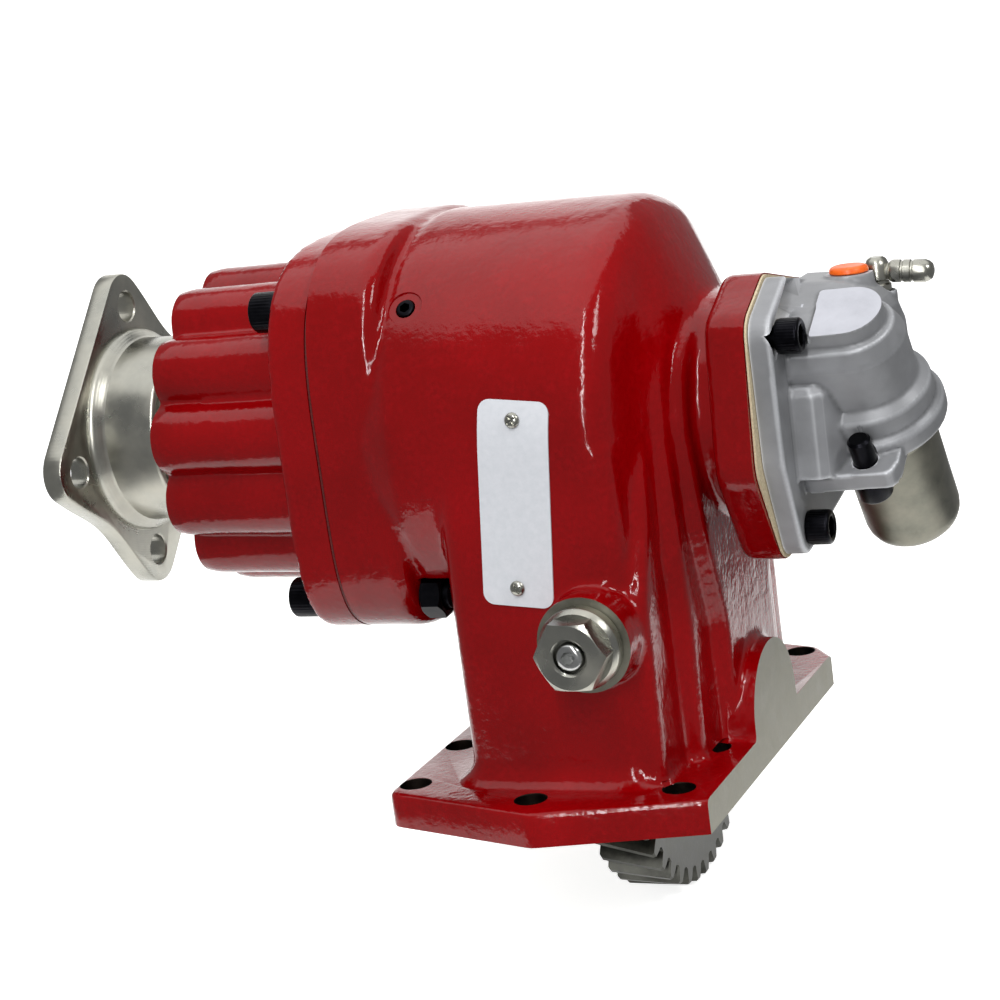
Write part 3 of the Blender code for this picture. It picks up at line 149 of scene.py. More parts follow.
def hexagon(acrossFlats, centre=(0.0, 0.0), turn=0.0):
    return circle(acrossFlats / math.sqrt(3), 6, centre, math.radians(turn))


def hullOutline(circles, count):
    found = []
    for k in range(count):
        angle = 2 * math.pi * k / count
        way = (math.cos(angle), math.sin(angle))
        best = max(circles, key=lambda c: c[0] * way[0] + c[1] * way[1] + c[2])
        found.append((best[0] + best[2] * way[0], best[1] + best[2] * way[1]))
    return found


def evened(outline, count):
    # spreads points evenly along a closed outline
    loop = [Vector(p) for p in outline] + [Vector(outline[0])]
    lengths = [(b - a).length for a, b in zip(loop, loop[1:])]
    total = sum(lengths)
    found = []
    k = 0
    passed = 0.0
    for n in range(count):
        target = total * n / count
        while passed + lengths[k] < target:
            passed += lengths[k]
            k += 1
        share = (target - passed) / max(lengths[k], 1e-9)
        point = loop[k].lerp(loop[k + 1], share)
        found.append((point.x, point.y))
    return found


def roundedPolygon(corners, radius, steps=8):
    found = []
    count = len(corners)
    for k in range(count):
        corner = Vector(corners[k])
        back = (Vector(corners[k - 1]) - corner).normalized()
        ahead = (Vector(corners[(k + 1) % count]) - corner).normalized()
        half = back.angle(ahead) / 2
        middle = corner + (back + ahead).normalized() * radius / math.sin(half)
        first = corner + back * radius / math.tan(half)
        last = corner + ahead * radius / math.tan(half)
        start = math.atan2(first.y - middle.y, first.x - middle.x)
        sweep = math.atan2(last.y - middle.y, last.x - middle.x) - start
        sweep = (sweep + math.pi) % (2 * math.pi) - math.pi
        for n in range(steps + 1):
            found.append(polar(radius, start + sweep * n / steps, middle.x, middle.y))
    return found


def roundedBox(x0, x1, y0, y1, radius, steps=8):
    return roundedPolygon([(x1, y1), (x0, y1), (x0, y0), (x1, y0)], radius, steps)


def applied(item):
    # turns what the modifiers give into the mesh itself
    graph = bpy.context.evaluated_depsgraph_get()
    data = bpy.data.meshes.new_from_object(item.evaluated_get(graph))
    item.modifiers.clear()
    item.data = data


def boolean(item, mesh, operation="DIFFERENCE", solver="MANIFOLD"):
    # one cut or join, applied at once; the tool is a bmesh in mm
    tool = asObject("tool", mesh)
    change = item.modifiers.new(operation, "BOOLEAN")
    change.operation = operation
    change.solver = solver
    change.object = tool
    applied(item)
    bpy.data.objects.remove(tool, do_unlink=True)
    return item


def drill(item, x0, x1, radius, segments=48, y=0.0, z=shaftZ, solver="MANIFOLD"):
    return boolean(item, rod(x0, x1, radius, segments, y, z), solver=solver)


def shaded(item, angle=32):
    item.data.shade_smooth()
    item.data.set_sharp_from_angle(angle=math.radians(angle))
    return item


def castFrom(name, shells, voxel, rounds, wobble):
    # fuses fine shells into one skin and rounds it off, as sand and paint do on a casting
    whole = bmesh.new()
    for shell in shells:
        bmesh.ops.recalc_face_normals(shell, faces=shell.faces)
        part = bpy.data.meshes.new("part")
        shell.to_mesh(part)
        shell.free()
        whole.from_mesh(part)
        bpy.data.meshes.remove(part)
    item = asObject(name, whole)
    remesh = item.modifiers.new("fuse", "REMESH")
    remesh.mode = "VOXEL"
    remesh.voxel_size = voxel * mm
    smooth = item.modifiers.new("round", "SMOOTH")
    smooth.factor = 0.5
    smooth.iterations = rounds
    applied(item)
    # a slow wander of the surface, so that long highlights break up as they do on a casting
    normals = [v.normal.copy() for v in item.data.vertices]
    for vertex, normal in zip(item.data.vertices, normals):
        slow = noise.noise(vertex.co * 1000 / wobble["size"])
        vertex.co += normal * slow * wobble["depth"] * mm
    return item


def placed(item, body, slotName, material, *nodes):
    item.data.materials.clear()
    item.data.materials.append(material)
    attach(item, body)
    if nodes:
        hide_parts(*nodes)
    return item


def refaced(item, material, test):
    # gives the faces that the test picks (by middle in mm and normal) a material of their own
    item.data.materials.append(material)
    index = len(item.data.materials) - 1
    for face in item.data.polygons:
        if test(face.center * 1000, face.normal):
            face.material_index = index
            face.use_smooth = False


# Materials
def toLinear(hexColour):
    parts = [int(hexColour[k:k + 2], 16) / 255 for k in (1, 3, 5)]
    return tuple(c / 12.92 if c <= 0.04045 else ((c + 0.055) / 1.055) ** 2.4 for c in parts) + (1.0,)


def addNode(tree, kind, settings=None, links=None):
    node = tree.nodes.new(kind)
    for key, value in (settings or {}).items():
        if isinstance(key, int) or key in node.inputs:
            node.inputs[key].default_value = value
        else:
            setattr(node, key, value)
    for key, source in (links or {}).items():
        tree.links.new(source, node.inputs[key])
    return node


def startMaterial(name, metallic, roughness, **constants):
    material = bpy.data.materials.new(name)
    material.use_nodes = True
    tree = material.node_tree
    shader = tree.nodes["Principled BSDF"]
    shader.inputs["Metallic"].default_value = metallic
    shader.inputs["Roughness"].default_value = roughness
    for key, value in constants.items():
        shader.inputs[key.replace("_", " ")].default_value = value
    place = addNode(tree, "ShaderNodeTexCoord").outputs["Object"]
    return material, tree, shader, place


def grain(tree, place, sizeMm, detail=3.0, rough=0.55):
    # noise whose blobs are about sizeMm across
    settings = {"Scale": 1000 / sizeMm, "Detail": detail, "Roughness": rough}
    return addNode(tree, "ShaderNodeTexNoise", settings, {"Vector": place}).outputs["Fac"]


def spread(tree, source, low, high, fromLow=0.3, fromHigh=0.7):
    settings = {"From Min": fromLow, "From Max": fromHigh, "To Min": low, "To Max": high}
    return addNode(tree, "ShaderNodeMapRange", settings, {"Value": source}).outputs["Result"]


def colours(tree, source, stops):
    node = addNode(tree, "ShaderNodeValToRGB", None, {"Fac": source})
    ramp = node.color_ramp
    while len(ramp.elements) < len(stops):
        ramp.elements.new(0.5)
    for element, (at, hexColour) in zip(ramp.elements, stops):
        element.position = at
        element.color = toLinear(hexColour)
    return node.outputs["Color"]


def blended(tree, share, first, second):
    # a colour mix, first where share is 0
    node = addNode(tree, "ShaderNodeMix", {"data_type": "RGBA"})
    tree.links.new(share, node.inputs[0])
    tree.links.new(first, node.inputs[6])
    tree.links.new(second, node.inputs[7])
    return node.outputs[2]


def calc(tree, operation, first, second):
    node = addNode(tree, "ShaderNodeMath", {"operation": operation})
    for socket, value in zip(node.inputs, (first, second)):
        if isinstance(value, (int, float)):
            socket.default_value = value
        else:
            tree.links.new(value, socket)
    return node.outputs[0]


def toned(tree, tone, share, source, dark, light):
    # lays a second pair of colours over a tone, as far as share says
    return blended(tree, share, tone, colours(tree, source, [(0.3, dark), (0.7, light)]))


def bumped(tree, shader, layers):
    # layers of (height, depth in mm), coarse first
    normal = None
    for height, depth in layers:
        links = {"Height": height}
        if normal:
            links["Normal"] = normal
        normal = addNode(tree, "ShaderNodeBump", {"Strength": 1.0, "Distance": depth * mm}, links).outputs["Normal"]
    tree.links.new(normal, shader.inputs["Normal"])


def finished(tree, shader, tone, rough, layers):
    tree.links.new(tone, shader.inputs["Base Color"])
    tree.links.new(rough, shader.inputs["Roughness"])
    bumped(tree, shader, layers)


# Gloss red enamel brushed over grey cast iron: deep red, wet gloss, the sand texture shows through.
enamelLook = {
    "deep": "#760001", "fresh": "#8E0004", "speckleDark": "#6C0004", "speckleLight": "#A80612",
    "sandGrain": 1.9, "sandDepth": 0.1, "lumps": 7.0, "lumpDepth": 0.24, "gloss": 0.07, "dull": 0.15,
}


def makeEnamel():
    look = enamelLook
    material, tree, shader, place = startMaterial(
        "glossRedEnamelOnCastIron", 0.0, 0.16, IOR=1.5, Specular_IOR_Level=0.33)
    wide = grain(tree, place, 55, 2.0)
    lumps = grain(tree, place, look["lumps"], 2.0)
    sand = grain(tree, place, look["sandGrain"], 3.0)
    red = colours(tree, wide, [(0.3, look["deep"]), (0.7, look["fresh"])])
    speckle = colours(tree, sand, [(0.35, look["speckleDark"]), (0.65, look["speckleLight"])])
    red = blended(tree, spread(tree, lumps, 0.0, 0.22), red, speckle)
    rough = spread(tree, lumps, look["gloss"], look["dull"])
    finished(tree, shader, red, rough, [(lumps, look["lumpDepth"]), (sand, look["sandDepth"])])
    return material


# Die cast aluminium, shot blasted: pale grey, matt, with one machined land at the top of the valve barrel.
alloyLook = {"shade": "#828385", "light": "#9A9B9E", "grainSize": 0.9, "flow": 20.0}
barrelCentre = Vector((110.6, 0.0, 115.0))
barrelUp = Vector((-0.047, -0.488, 0.872)).normalized()


def makeAlloy():
    look = alloyLook
    material, tree, shader, place = startMaterial("shotBlastedDieCastAluminium", 0.3, 0.42)
    fine = grain(tree, place, look["grainSize"], 4.0)
    flow = grain(tree, place, look["flow"], 3.0)
    tone = colours(tree, flow, [(0.3, look["shade"]), (0.68, look["light"])])
    tone = toned(tree, tone, spread(tree, fine, 0.0, 0.3), flow, "#7E7F81", "#98999C")
    # painted shade darkens the hollows and painted highlights brighten the edges, both from the mesh's pointiness, to
    # bring out the form
    edge = addNode(tree, "ShaderNodeNewGeometry").outputs["Pointiness"]
    tone = toned(tree, tone, spread(tree, edge, 0.75, 0.0, 0.44, 0.497), fine, "#3C3D3E", "#4A4B4D")
    # painted highlight on the edges, from the same pointiness
    tone = toned(tree, tone, spread(tree, edge, 0.0, 0.85, 0.507, 0.56), fine, "#D6D8DC", "#E6E8EC")
    finished(tree, shader, tone, spread(tree, flow, 0.4, 0.52), [(fine, 0.05)])
    return material


# Turned steel with bright zinc passivate: silver with a yellow-grey tint and fine turning rings round X.
zincLook = {"cool": "#9A9A93", "warm": "#B6B4A9", "ringPitch": 0.9, "grainSize": 2.5}


def makeZinc(name, rings):
    look = zincLook
    material, tree, shader, place = startMaterial(name, 1.0, 0.3)
    cloud = grain(tree, place, 18, 3.0)
    fine = grain(tree, place, look["grainSize"], 3.0)
    tone = colours(tree, cloud, [(0.3, look["cool"]), (0.7, look["warm"])])
    tone = toned(tree, tone, spread(tree, fine, 0.0, 0.25), cloud, "#83837B", "#A3A196")
    layers = [(fine, 0.015)]
    if rings:
        # rings about the output shaft, drawn coarser than a real 0.2 mm feed so that they show
        flat = {"Location": (0.0, 0.0, -shaftZ * mm), "Scale": (0.0, 1.0, 1.0)}
        shifted = addNode(tree, "ShaderNodeMapping", flat, {"Vector": place})
        distance = addNode(tree, "ShaderNodeVectorMath", {"operation": "LENGTH"}, {0: shifted.outputs["Vector"]})
        turns = calc(tree, "MULTIPLY", distance.outputs["Value"], 2 * math.pi * 1000 / look["ringPitch"])
        layers.append((calc(tree, "SINE", turns, 0.0), 0.006))
    finished(tree, shader, tone, spread(tree, cloud, 0.22, 0.38), layers)
    return material


# Steel and other bare metal: one cloudy tone, with a grain and a shine of its own for each finish.
def makeSteel(name, dark, light, low, high, grainSize, depth):
    material, tree, shader, place = startMaterial(name, 1.0, (low + high) / 2)
    cloud = grain(tree, place, 9, 3.0)
    fine = grain(tree, place, grainSize, 3.0)
    tone = colours(tree, cloud, [(0.3, dark), (0.7, light)])
    tone = toned(tree, tone, spread(tree, fine, 0.0, 0.25), fine, dark, light)
    finished(tree, shader, tone, spread(tree, cloud, low, high), [(fine, depth)])
    return material


# Things that are not metal: matt or gloss, with the speckle, fibre or moulding marks of each.
def makePlain(name, dark, light, low, high, grainSize, depth, **constants):
    material, tree, shader, place = startMaterial(name, 0.0, (low + high) / 2, **constants)
    fine = grain(tree, place, grainSize, 4.0)
    cloud = grain(tree, place, grainSize * 8, 2.0)
    tone = colours(tree, fine, [(0.3, dark), (0.7, light)])
    finished(tree, shader, tone, spread(tree, cloud, low, high), [(fine, depth)])
    return material


enamel = makeEnamel()
alloy = makeAlloy()
# The milled faces are smooth and pale; the drilled holes are bare iron, darkened to near black as painted shade deep
# inside the holes.
milledAlloy = makeSteel("milledAluminium", "#B4B5BC", "#C4C5CC", 0.3, 0.36, 0.8, 0.01)
milledIron = makeSteel("milledCastIron", "#716F64", "#8B897D", 0.42, 0.55, 1.4, 0.02)
holeShadeIron = makeSteel("drilledCastIronPaintedShade", "#17120F", "#2A2420", 0.45, 0.6, 1.2, 0.02)
# The flange is turned and so shows rings; nuts and washers don't; the drawn can is duller.
zincTurned = makeZinc("zincPlatedTurnedSteel", True)
zincPlain = makeZinc("zincPlatedSteel", False)
zincDull = makeSteel("dullZincOnDrawnSteel", "#6A6A61", "#8C8A7E", 0.34, 0.5, 2.5, 0.02)
# Hobbed and hardened gear teeth carry a film of oil; bearings are ground bright; screws are black oxide.
gearSteel = makeSteel("oiledGearSteel", "#2F2F2C", "#52524D", 0.28, 0.44, 1.2, 0.02)
groundSteel = makeSteel("groundBearingSteel", "#9A9B9A", "#C4C5C3", 0.16, 0.28, 0.8, 0.006)
springSteel = makeSteel("bluedSpringSteel", "#3E3F42", "#5C5D60", 0.28, 0.4, 0.8, 0.008)
blackOxide = makeSteel("blackOxideSteel", "#0B0B0E", "#1C1C20", 0.26, 0.42, 0.7, 0.015)
# Soft goods and mouldings: fibrous paper, one edge of it painted over, matt rubber, sintered lining.
gasketPaper = makePlain("pressedGasketPaper", "#B9A886", "#DCCEAF", 0.75, 0.95, 0.7, 0.05)
paintedGasket = makePlain("paintedOverGasketEdge", "#3A0806", "#6E1410", 0.4, 0.6, 0.7, 0.05)
sealRubber = makePlain("mouldedNitrileRubber", "#141414", "#1F1F1F", 0.5, 0.65, 0.6, 0.02)
liningStock = makePlain("sinteredFrictionLining", "#3B2F24", "#5A4836", 0.75, 0.9, 0.5, 0.04)
orangeCapStock = makePlain("mouldedOrangePolythene", "#E85A0A", "#F7701C", 0.32, 0.45, 1.5, 0.02, IOR=1.5)
labelStock = makePlain("satinWhitePolyesterLabel", "#D2D5DA", "#DADCE1", 0.32, 0.36, 2.0, 0.003,
                       IOR=1.5, Specular_IOR_Level=0.3)
print("materials made")

slotMaterials = {
    "red_enamel": enamel, "cast_alloy": alloy, "zinc_plate": zincTurned, "gear_steel": gearSteel,
    "ground_steel": groundSteel, "black_oxide": blackOxide, "gasket_paper": gasketPaper,
    "seal_rubber": sealRubber, "friction_lining": liningStock, "orange_plastic": orangeCapStock,
    "label_stock": labelStock, "spring_steel": springSteel,
}
for row in frame["record"]["subparts"]:
    item = frame["nodes"][row["node"]]
    item.data.materials.clear()
    item.data.materials.append(slotMaterials[row["material_slot"]])

# Main housing
housing = {
    "drumRadius": 74.0, "boreRadius": 65.0, "bearingBore": 33.25, "jointX": -70.2, "drumStart": -47.0,
    "webX": 45.7, "coverX": 80.0, "flangeHalf": 68.5, "flangeBottom": 69.0, "capTop": 70.0,
    "frontWall": 74.0, "neckLeft": -28.0, "neckRight": 38.0, "wellLeft": -20.0, "wellRight": 37.0,
    "wellHalf": 65.0, "padThick": 12.0, "padRight": 61.8,
    "padHole": 5.55, "coverHole": 4.25, "capHole": 5.05,
    "voxel": 1.35, "rounds": 8, "wobble": {"size": 16.0, "depth": 0.14},
}
coverScrews = [(y, shaftZ + z) for y, z in ((-39.7, 27.9), (43.2, 22.0), (-27.9, -39.7), (39.7, -27.9))]
capScrews = [(-50.5, shaftZ + 49.5), (50.5, shaftZ + 49.5), (-53.0, shaftZ - 53.5), (53.0, shaftZ - 53.5)]
padCorners = [(64.8, -83.5), (64.8, 66.0), (53.6, 81.0), (4.0, 97.0), (-55.2, 83.5), (-55.2, -83.5), (4.0, -100.5)]
padHoles = [(0.0, -86.5), (0.0, 86.5)] + [(x, y) for x in (-48.6, 48.6) for y in (-74.0, -34.5, 34.5, 74.0)]
portAt = (25.9, -85.7, 65.7)
plugAngle = math.radians(139.0)
plugWay = Vector((0.0, math.cos(plugAngle), math.sin(plugAngle)))
plugSeat = Vector((-36.0, housing["drumRadius"] * plugWay.y, shaftZ + housing["drumRadius"] * plugWay.z))


def flangeOutline(top, inset=0.0, count=180):
    found = []
    for k in range(count):
        angle = 2 * math.pi * (k + 0.5) / count
        c = math.cos(angle)
        s = math.sin(angle)
        power = 3.3 if s > 0 else 4.6
        tall = (top if s > 0 else housing["flangeBottom"]) - inset
        wide = housing["flangeHalf"] - inset
        found.append(polar((abs(c / wide) ** power + abs(s / tall) ** power) ** (-1 / power), angle))
    return found


def coverOutline(earRadius, nearBulge, count=180):
    circles = [(y, z, earRadius) for y, z in coverScrews]
    circles.append((-22.0, shaftZ + 36.0, earRadius))
    circles.append((-38.0, shaftZ - 12.0, nearBulge))
    circles.append((40.0, shaftZ - 5.0, earRadius + 1))
    return evened(hullOutline(circles, 720), count)


def archOutline(halfWidth, rise, footWidth, footZ):
    middleZ = (shaftZ + footZ) / 2
    middleWidth = halfWidth + (footWidth - halfWidth) * 0.3
    found = [(footWidth, 2.0), (footWidth, footZ), (middleWidth, middleZ)]
    for k in range(33):
        angle = math.pi * k / 32
        found.append((halfWidth * math.cos(angle), shaftZ + rise * math.sin(angle)))
    found += [(-middleWidth, middleZ), (-footWidth, footZ), (-footWidth, 2.0)]
    return evened(found, 120)


def drumRing(high, low, count=160):
    # the radius is high over the top and low round the sides
    found = []
    for k in range(count):
        angle = 2 * math.pi * (k + 0.5) / count
        steep = math.degrees(math.atan2(math.sin(angle), abs(math.cos(angle))))
        share = min(1.0, max(0.0, (steep - 42.0) / 34.0))
        found.append(polar(low + (high - low) * share * share * (3 - 2 * share), angle))
    return found


def housingShells():
    h = housing
    drum = lofted([(x, drumRing(high, low)) for x, high, low in (
        (h["drumStart"] - 8, 68.0, 68.0), (h["drumStart"] + 6, 74.0, 74.0), (28.0, 74.0, 74.0), (31.0, 73.6, 73.5),
        (34.0, 72.4, 72.0), (37.5, 70.0, 67.5), (40.0, 67.5, 61.5), (42.0, 64.0, 56.5), (44.0, 60.0, 53.0),
        (47.5, 52.0, 48.0), (53.5, 38.0, 38.0), (70.0, 38.0, 38.0),
    )])
    joint = lofted([(x, flangeOutline(h["drumRadius"], inset)) for x, inset in (
        (h["jointX"] - 3, 0.0), (h["drumStart"] - 2, 0.0), (h["drumStart"] + 1, 1.6), (h["drumStart"] + 2, 3.0))])

    def neckOutline(wider, longer):
        far = h["frontWall"] + longer
        return evened(roundedBox(h["neckLeft"] - wider, h["neckRight"] + wider, -far, far, 8 + 0.7 * wider), 160)

    neckSteps = ((8.0, 6, 4), (12.5, 6, 4), (14.0, 3.4, 2), (15.5, 1.8, 1), (18.0, 0.5, 0.2), (20.0, 0, 0),
                 (shaftZ, 0, 0))
    neck = lofted([(z, neckOutline(wider, longer)) for z, wider, longer in neckSteps], "Z")
    shells = [drum, joint, neck]
    # three arches step up the cone
    for halfWidth, rise, footWidth, footZ, start, end in (
        (56.0, 53.0, 72.5, 74.0, 28.0, 43.5), (49.5, 45.5, 48.5, 60.0, 38.0, 49.5),
        (45.0, 38.5, 28.0, 55.0, 44.0, 55.5),
    ):
        wide = archOutline(halfWidth, rise, footWidth, footZ)
        shells.append(lofted([(start, wide), (end - 2, wide),
                              (end, archOutline(halfWidth - 1.8, rise - 1.8, footWidth - 1.8, footZ))]))
    inner = evened([(x * 0.975, y * 0.975) for x, y in roundedPolygon(padCorners, 5.0)], 200)
    shells.append(lofted([(-3.0, inner), (h["padThick"] - 0.6, inner)], "Z"))
    shells.append(lofted([(h["coverX"] + x, coverOutline(ear, bulge)) for x, ear, bulge in (
        (-14, 8.5, 14.0), (-12, 10.5, 17.0), (3, 10.5, 17.0))]))
    shells.append(rod(44.0, h["padRight"] + 3, 25.0, 72, -3.0, gearZ + 2))
    shells.append(rod(h["neckLeft"] - 9, h["neckLeft"] + 4, 20.0, 64, 0.0, gearZ, 1.5))
    shells.append(aimed(rod(-20, 3, 16.5, 64, 0.0, 0.0), portAt, (0, -1, 0)))
    return shells


def machineHousing(item):
    h = housing
    slab = []  # the pad again, crisp, with a rolled top edge
    for height, inset in ((-2.0, 0.0), (10.2, 0.0), (11.1, 0.25), (11.7, 0.8), (12.0, 1.7)):
        drawnIn = [(x * (1 - inset / 60), y * (1 - inset / 90)) for x, y in roundedPolygon(padCorners, 5.0)]
        slab.append((height, evened(drawnIn, 240)))
    boolean(item, lofted(slab, "Z"), "UNION")
    boolean(item, block(h["jointX"] - 10, h["jointX"], -95, 95, 20, 225))
    boolean(item, block(h["coverX"], h["coverX"] + 12, -95, 95, 60, 225))
    boolean(item, block(h["padRight"], h["padRight"] + 12, -110, 110, -12, 45))
    boolean(item, block(portAt[0] - 25, portAt[0] + 25, portAt[1] - 14, portAt[1], 40, 90))
    boolean(item, turned([
        (h["jointX"] - 2, 0), (h["jointX"] - 2, h["boreRadius"]), (24.0, h["boreRadius"]), (30.0, 57.0), (30.0, 30.0),
        (h["webX"], 30.0), (h["webX"], h["bearingBore"]), (82.0, h["bearingBore"]), (82.0, 0),
    ], 128))
    well = evened(roundedBox(h["wellLeft"], h["wellRight"], -h["wellHalf"], h["wellHalf"], 6), 120)
    boolean(item, lofted([(-6.0, well), (shaftZ, well)], "Z"))
    for x0, x1 in ((-24.0, 4.35), (30.65, 41.0)):
        boolean(item, rod(x0, x1, 20.0, 64, 0.0, gearZ), "UNION")
    boolean(item, block(-90, 90, -130, 130, -40, 0))
    drill(item, -40.0, h["padRight"] - 8, 10.75, 48, 0.0, gearZ)
    for at in padHoles:
        # a light countersink, since the drill breaks the paint at the rim
        radius = h["padHole"]
        boolean(item, upright([(-1.0, radius), (h["padThick"] - 0.3, radius), (h["padThick"] + 1.5, 7.0)], 40, at))
    for k, (y, z) in enumerate(capScrews):
        drill(item, h["jointX"] - 1, -50.0 if k < 2 else -42.5, h["capHole"], 40, y, z)
        if k >= 2:
            drill(item, -44.5, -30.0, 8.6, 48, y, z)  # room for the nut
    for y, z in coverScrews:
        drill(item, 68.0, 81.0, h["coverHole"], 32, y, z)
    boolean(item, aimed(rod(-26, 1, 8.0, 40, 0.0, 0.0), portAt, (0, -1, 0)))
    plugHole = turned([(-14, 0), (-14, 3.6), (-0.8, 3.6), (-0.8, 6.0), (3, 8.0), (3, 0)], 40, 0.0, 0.0)
    boolean(item, aimed(plugHole, plugSeat, plugWay))
    return shaded(item, 38)


castHousing = castFrom("castHousing", housingShells(), housing["voxel"], housing["rounds"], housing["wobble"])
machineHousing(castHousing)
placed(castHousing, "housing", "red_enamel", enamel, "main_housing")


def isMilled(at, way):
    # pad edge and face, cap joint, bore and port face
    fromShaft = math.hypot(at.y, at.z - shaftZ)
    return ((at.x > housing["padRight"] - 0.1 and way.x > 0.95 and at.z < 45) or (at.z < 0.05 and way.z < -0.95)
            or (at.x < housing["jointX"] + 0.1 and way.x < -0.95)
            or (at.x < 46 and fromShaft < 65.2 and at.y * way.y + (at.z - shaftZ) * way.z < -1)
            or (at.y < -85.6 and way.y < -0.95 and math.hypot(at.x - portAt[0], at.z - portAt[2]) < 16))


def isDrilled(at, way):
    return abs(way.z) < 0.85 and -0.1 < at.z < 12.1 and any(
        math.hypot(at.x - x, at.y - y) < 7.0 and (at.x - x) * way.x + (at.y - y) * way.y < 0 for x, y in padHoles)


refaced(castHousing, milledIron, isMilled)
# the walls of the pad holes get near-black painted shade
refaced(castHousing, holeShadeIron, isDrilled)
print("housing:", len(castHousing.data.polygons), "faces")

# End cap with its twelve flutes
endCap = {"left": -143.0, "flangeLeft": -86.2, "flangeRight": -71.4, "flutes": 12, "fluteRadius": 13.0,
          "pitchRadius": 46.0, "firstAngle": 174.0, "voxel": 1.3, "rounds": 6, "wobble": {"size": 14.0, "depth": 0.14}}


def fluteOutline(change=0.0, perFlute=20):
    c = endCap
    found = []
    half = math.pi / c["flutes"]
    reach = c["fluteRadius"] + change
    for k in range(c["flutes"]):
        middle = math.radians(c["firstAngle"]) + 2 * half * k
        for n in range(perFlute):
            away = half * (2 * (n + 0.5) / perFlute - 1)
            depth = math.sqrt(reach**2 - (c["pitchRadius"] * math.sin(away)) ** 2)
            found.append(polar(c["pitchRadius"] * math.cos(away) + depth, middle + away))
    return found


capLeft, capFlange = endCap["left"], endCap["flangeLeft"]
capShells = [
    lofted([(x, fluteOutline(change)) for x, change in (
        (capLeft - 2, -0.9), (capLeft + 1.0, -0.4), (capLeft + 4, 0.2), (capFlange + 6, 0.9))]),
    lofted([(x, flangeOutline(housing["capTop"], inset)) for x, inset in (
        (capFlange, 0.4), (capFlange + 1.0, 0.0), (endCap["flangeRight"] + 3, 0.0))]),
]
castEndCap = castFrom("castEndCap", capShells, endCap["voxel"], endCap["rounds"], endCap["wobble"])
boolean(castEndCap, block(endCap["flangeRight"], endCap["flangeRight"] + 10, -95, 95, 35, 225))
boolean(castEndCap, block(capLeft - 9, capLeft, -95, 95, 35, 225))
boolean(castEndCap, turned([
    (capLeft - 1, 0), (capLeft - 1, 34.8), (capLeft + 1.2, 33.25), (-131.0, 33.25), (-131.0, 28.0), (-124.25, 28.0),
    (-124.25, 42.25), (-90.2, 42.25), (-84.2, 52.0), (-70.4, 52.0), (-70.4, 0),
], 128))
for y, z in capScrews:
    drill(castEndCap, -88.0, -70.0, housing["capHole"], 40, y, z)
    drill(castEndCap, -98.2, capFlange, 7.95, 48, y, z)
shaded(castEndCap, 38)
placed(castEndCap, "housing", "red_enamel", enamel, "end_cap")
print("end cap:", len(castEndCap.data.polygons), "faces")

# Gaskets
capSheet = flangeOutline(housing["capTop"], 0.25)
capGasket = asObject("capGasketSheet", lofted([(-71.15, capSheet), (-70.45, capSheet)]))
drill(capGasket, -73, -69, 61.0, 96, solver="EXACT")
for y, z in capScrews:
    drill(capGasket, -73, -69, housing["capHole"], 32, y, z, "EXACT")
placed(shaded(capGasket), "housing", "gasket_paper", paintedGasket, "cap_gasket")
coverSheet = coverOutline(9.9, 14.6)
coverGasket = asObject("coverGasketSheet", lofted([(80.25, coverSheet), (80.95, coverSheet)]))
drill(coverGasket, 79, 83, 33.0, 96, solver="EXACT")
for y, z in coverScrews:
    drill(coverGasket, 79, 83, housing["coverHole"], 32, y, z, "EXACT")
placed(shaded(coverGasket), "housing", "gasket_paper", gasketPaper, "cover_gasket")
print("gaskets done")

# Alloy cover with the leaning valve barrel
cover = {"left": 81.2, "right": 88.5, "voxel": 0.72, "rounds": 2, "wobble": {"size": 9.0, "depth": 0.05}}
capPort = (103.2, 0.5)
fittingAt = (110.6, 9.2)
lugScrewAt = (-0.5, -25.0)


def leaning(sections):
    # outlines one above the other along the barrel
    side = Vector((1, 0, 0))
    side = (side - barrelUp * side.dot(barrelUp)).normalized()
    ahead = barrelUp.cross(side)
    rings = []
    for height, outline in sections:
        rings.append([barrelCentre + barrelUp * height + side * x + ahead * y for x, y in outline])
    return skin(rings)


def leaningRound(profile, segments=72, at=(0.0, 0.0)):
    return leaning([(height, [at] if radius == 0 else circle(radius, segments, at)) for height, radius in profile])


bodyCorners = [(-16, 99), (6, 94), (26, 104), (30, 130), (26, 157), (13, 168.5), (-10, 168.5), (-24, 161), (-25, 143),
               (-20, 118)]


def bodyOutline(share):
    shrunk = [(y * share, 135 + (z - 135) * share) for y, z in bodyCorners]
    return evened(roundedPolygon(shrunk, 6.0 * share, 6), 120)


def archwise(radius, left):
    # round at its right end, with straight walls that run back to the flange
    found = [(-left, -radius)]
    found += [(radius * math.sin(math.pi * n / 40), -radius * math.cos(math.pi * n / 40)) for n in range(41)]
    return evened(found + [(-left, radius)], 140)


barrelSteps = [(14.0, 20.6), (19.4, 20.4), (20.2, 20.1), (22.8, 17.2), (23.2, 16.8), (39.6, 16.8), (40.8, 16.5),
               (46.2, 14.3), (46.6, 12.9), (46.8, 12.1), (51.6, 11.9)]
barrelRing = [(4.0, 0), (4.0, 21.8), (5.0, 22.7), (10.4, 22.8), (11.4, 22.4), (13.4, 20.2), (15.0, 19.9), (15.0, 0)]
bodySteps = [(85.5, 1.0), (100.0, 0.99), (104.0, 0.975), (107.0, 0.95), (110.5, 0.9), (113.0, 0.84), (115.3, 0.76),
             (117.0, 0.66)]
lugOutline = evened(roundedPolygon([(-22, -32), (9, -32), (11, -26), (11, 4), (-22, 4)], 3.0, 6), 96)
lobeCorners = [(103.6, -12.0), (86.0, -12.0), (86.0, -35.0), (96.5, -35.5), (99.5, -33.0), (103.6, -24.5)]
lobeOutline = evened(roundedPolygon(lobeCorners, 1.5, 4), 80)
lobeTop = [(x - 1.5 if x > 95 else x, y + 1.5 if y < -20 else y) for x, y in lobeOutline]
coverLeft, coverRight = cover["left"], cover["right"]
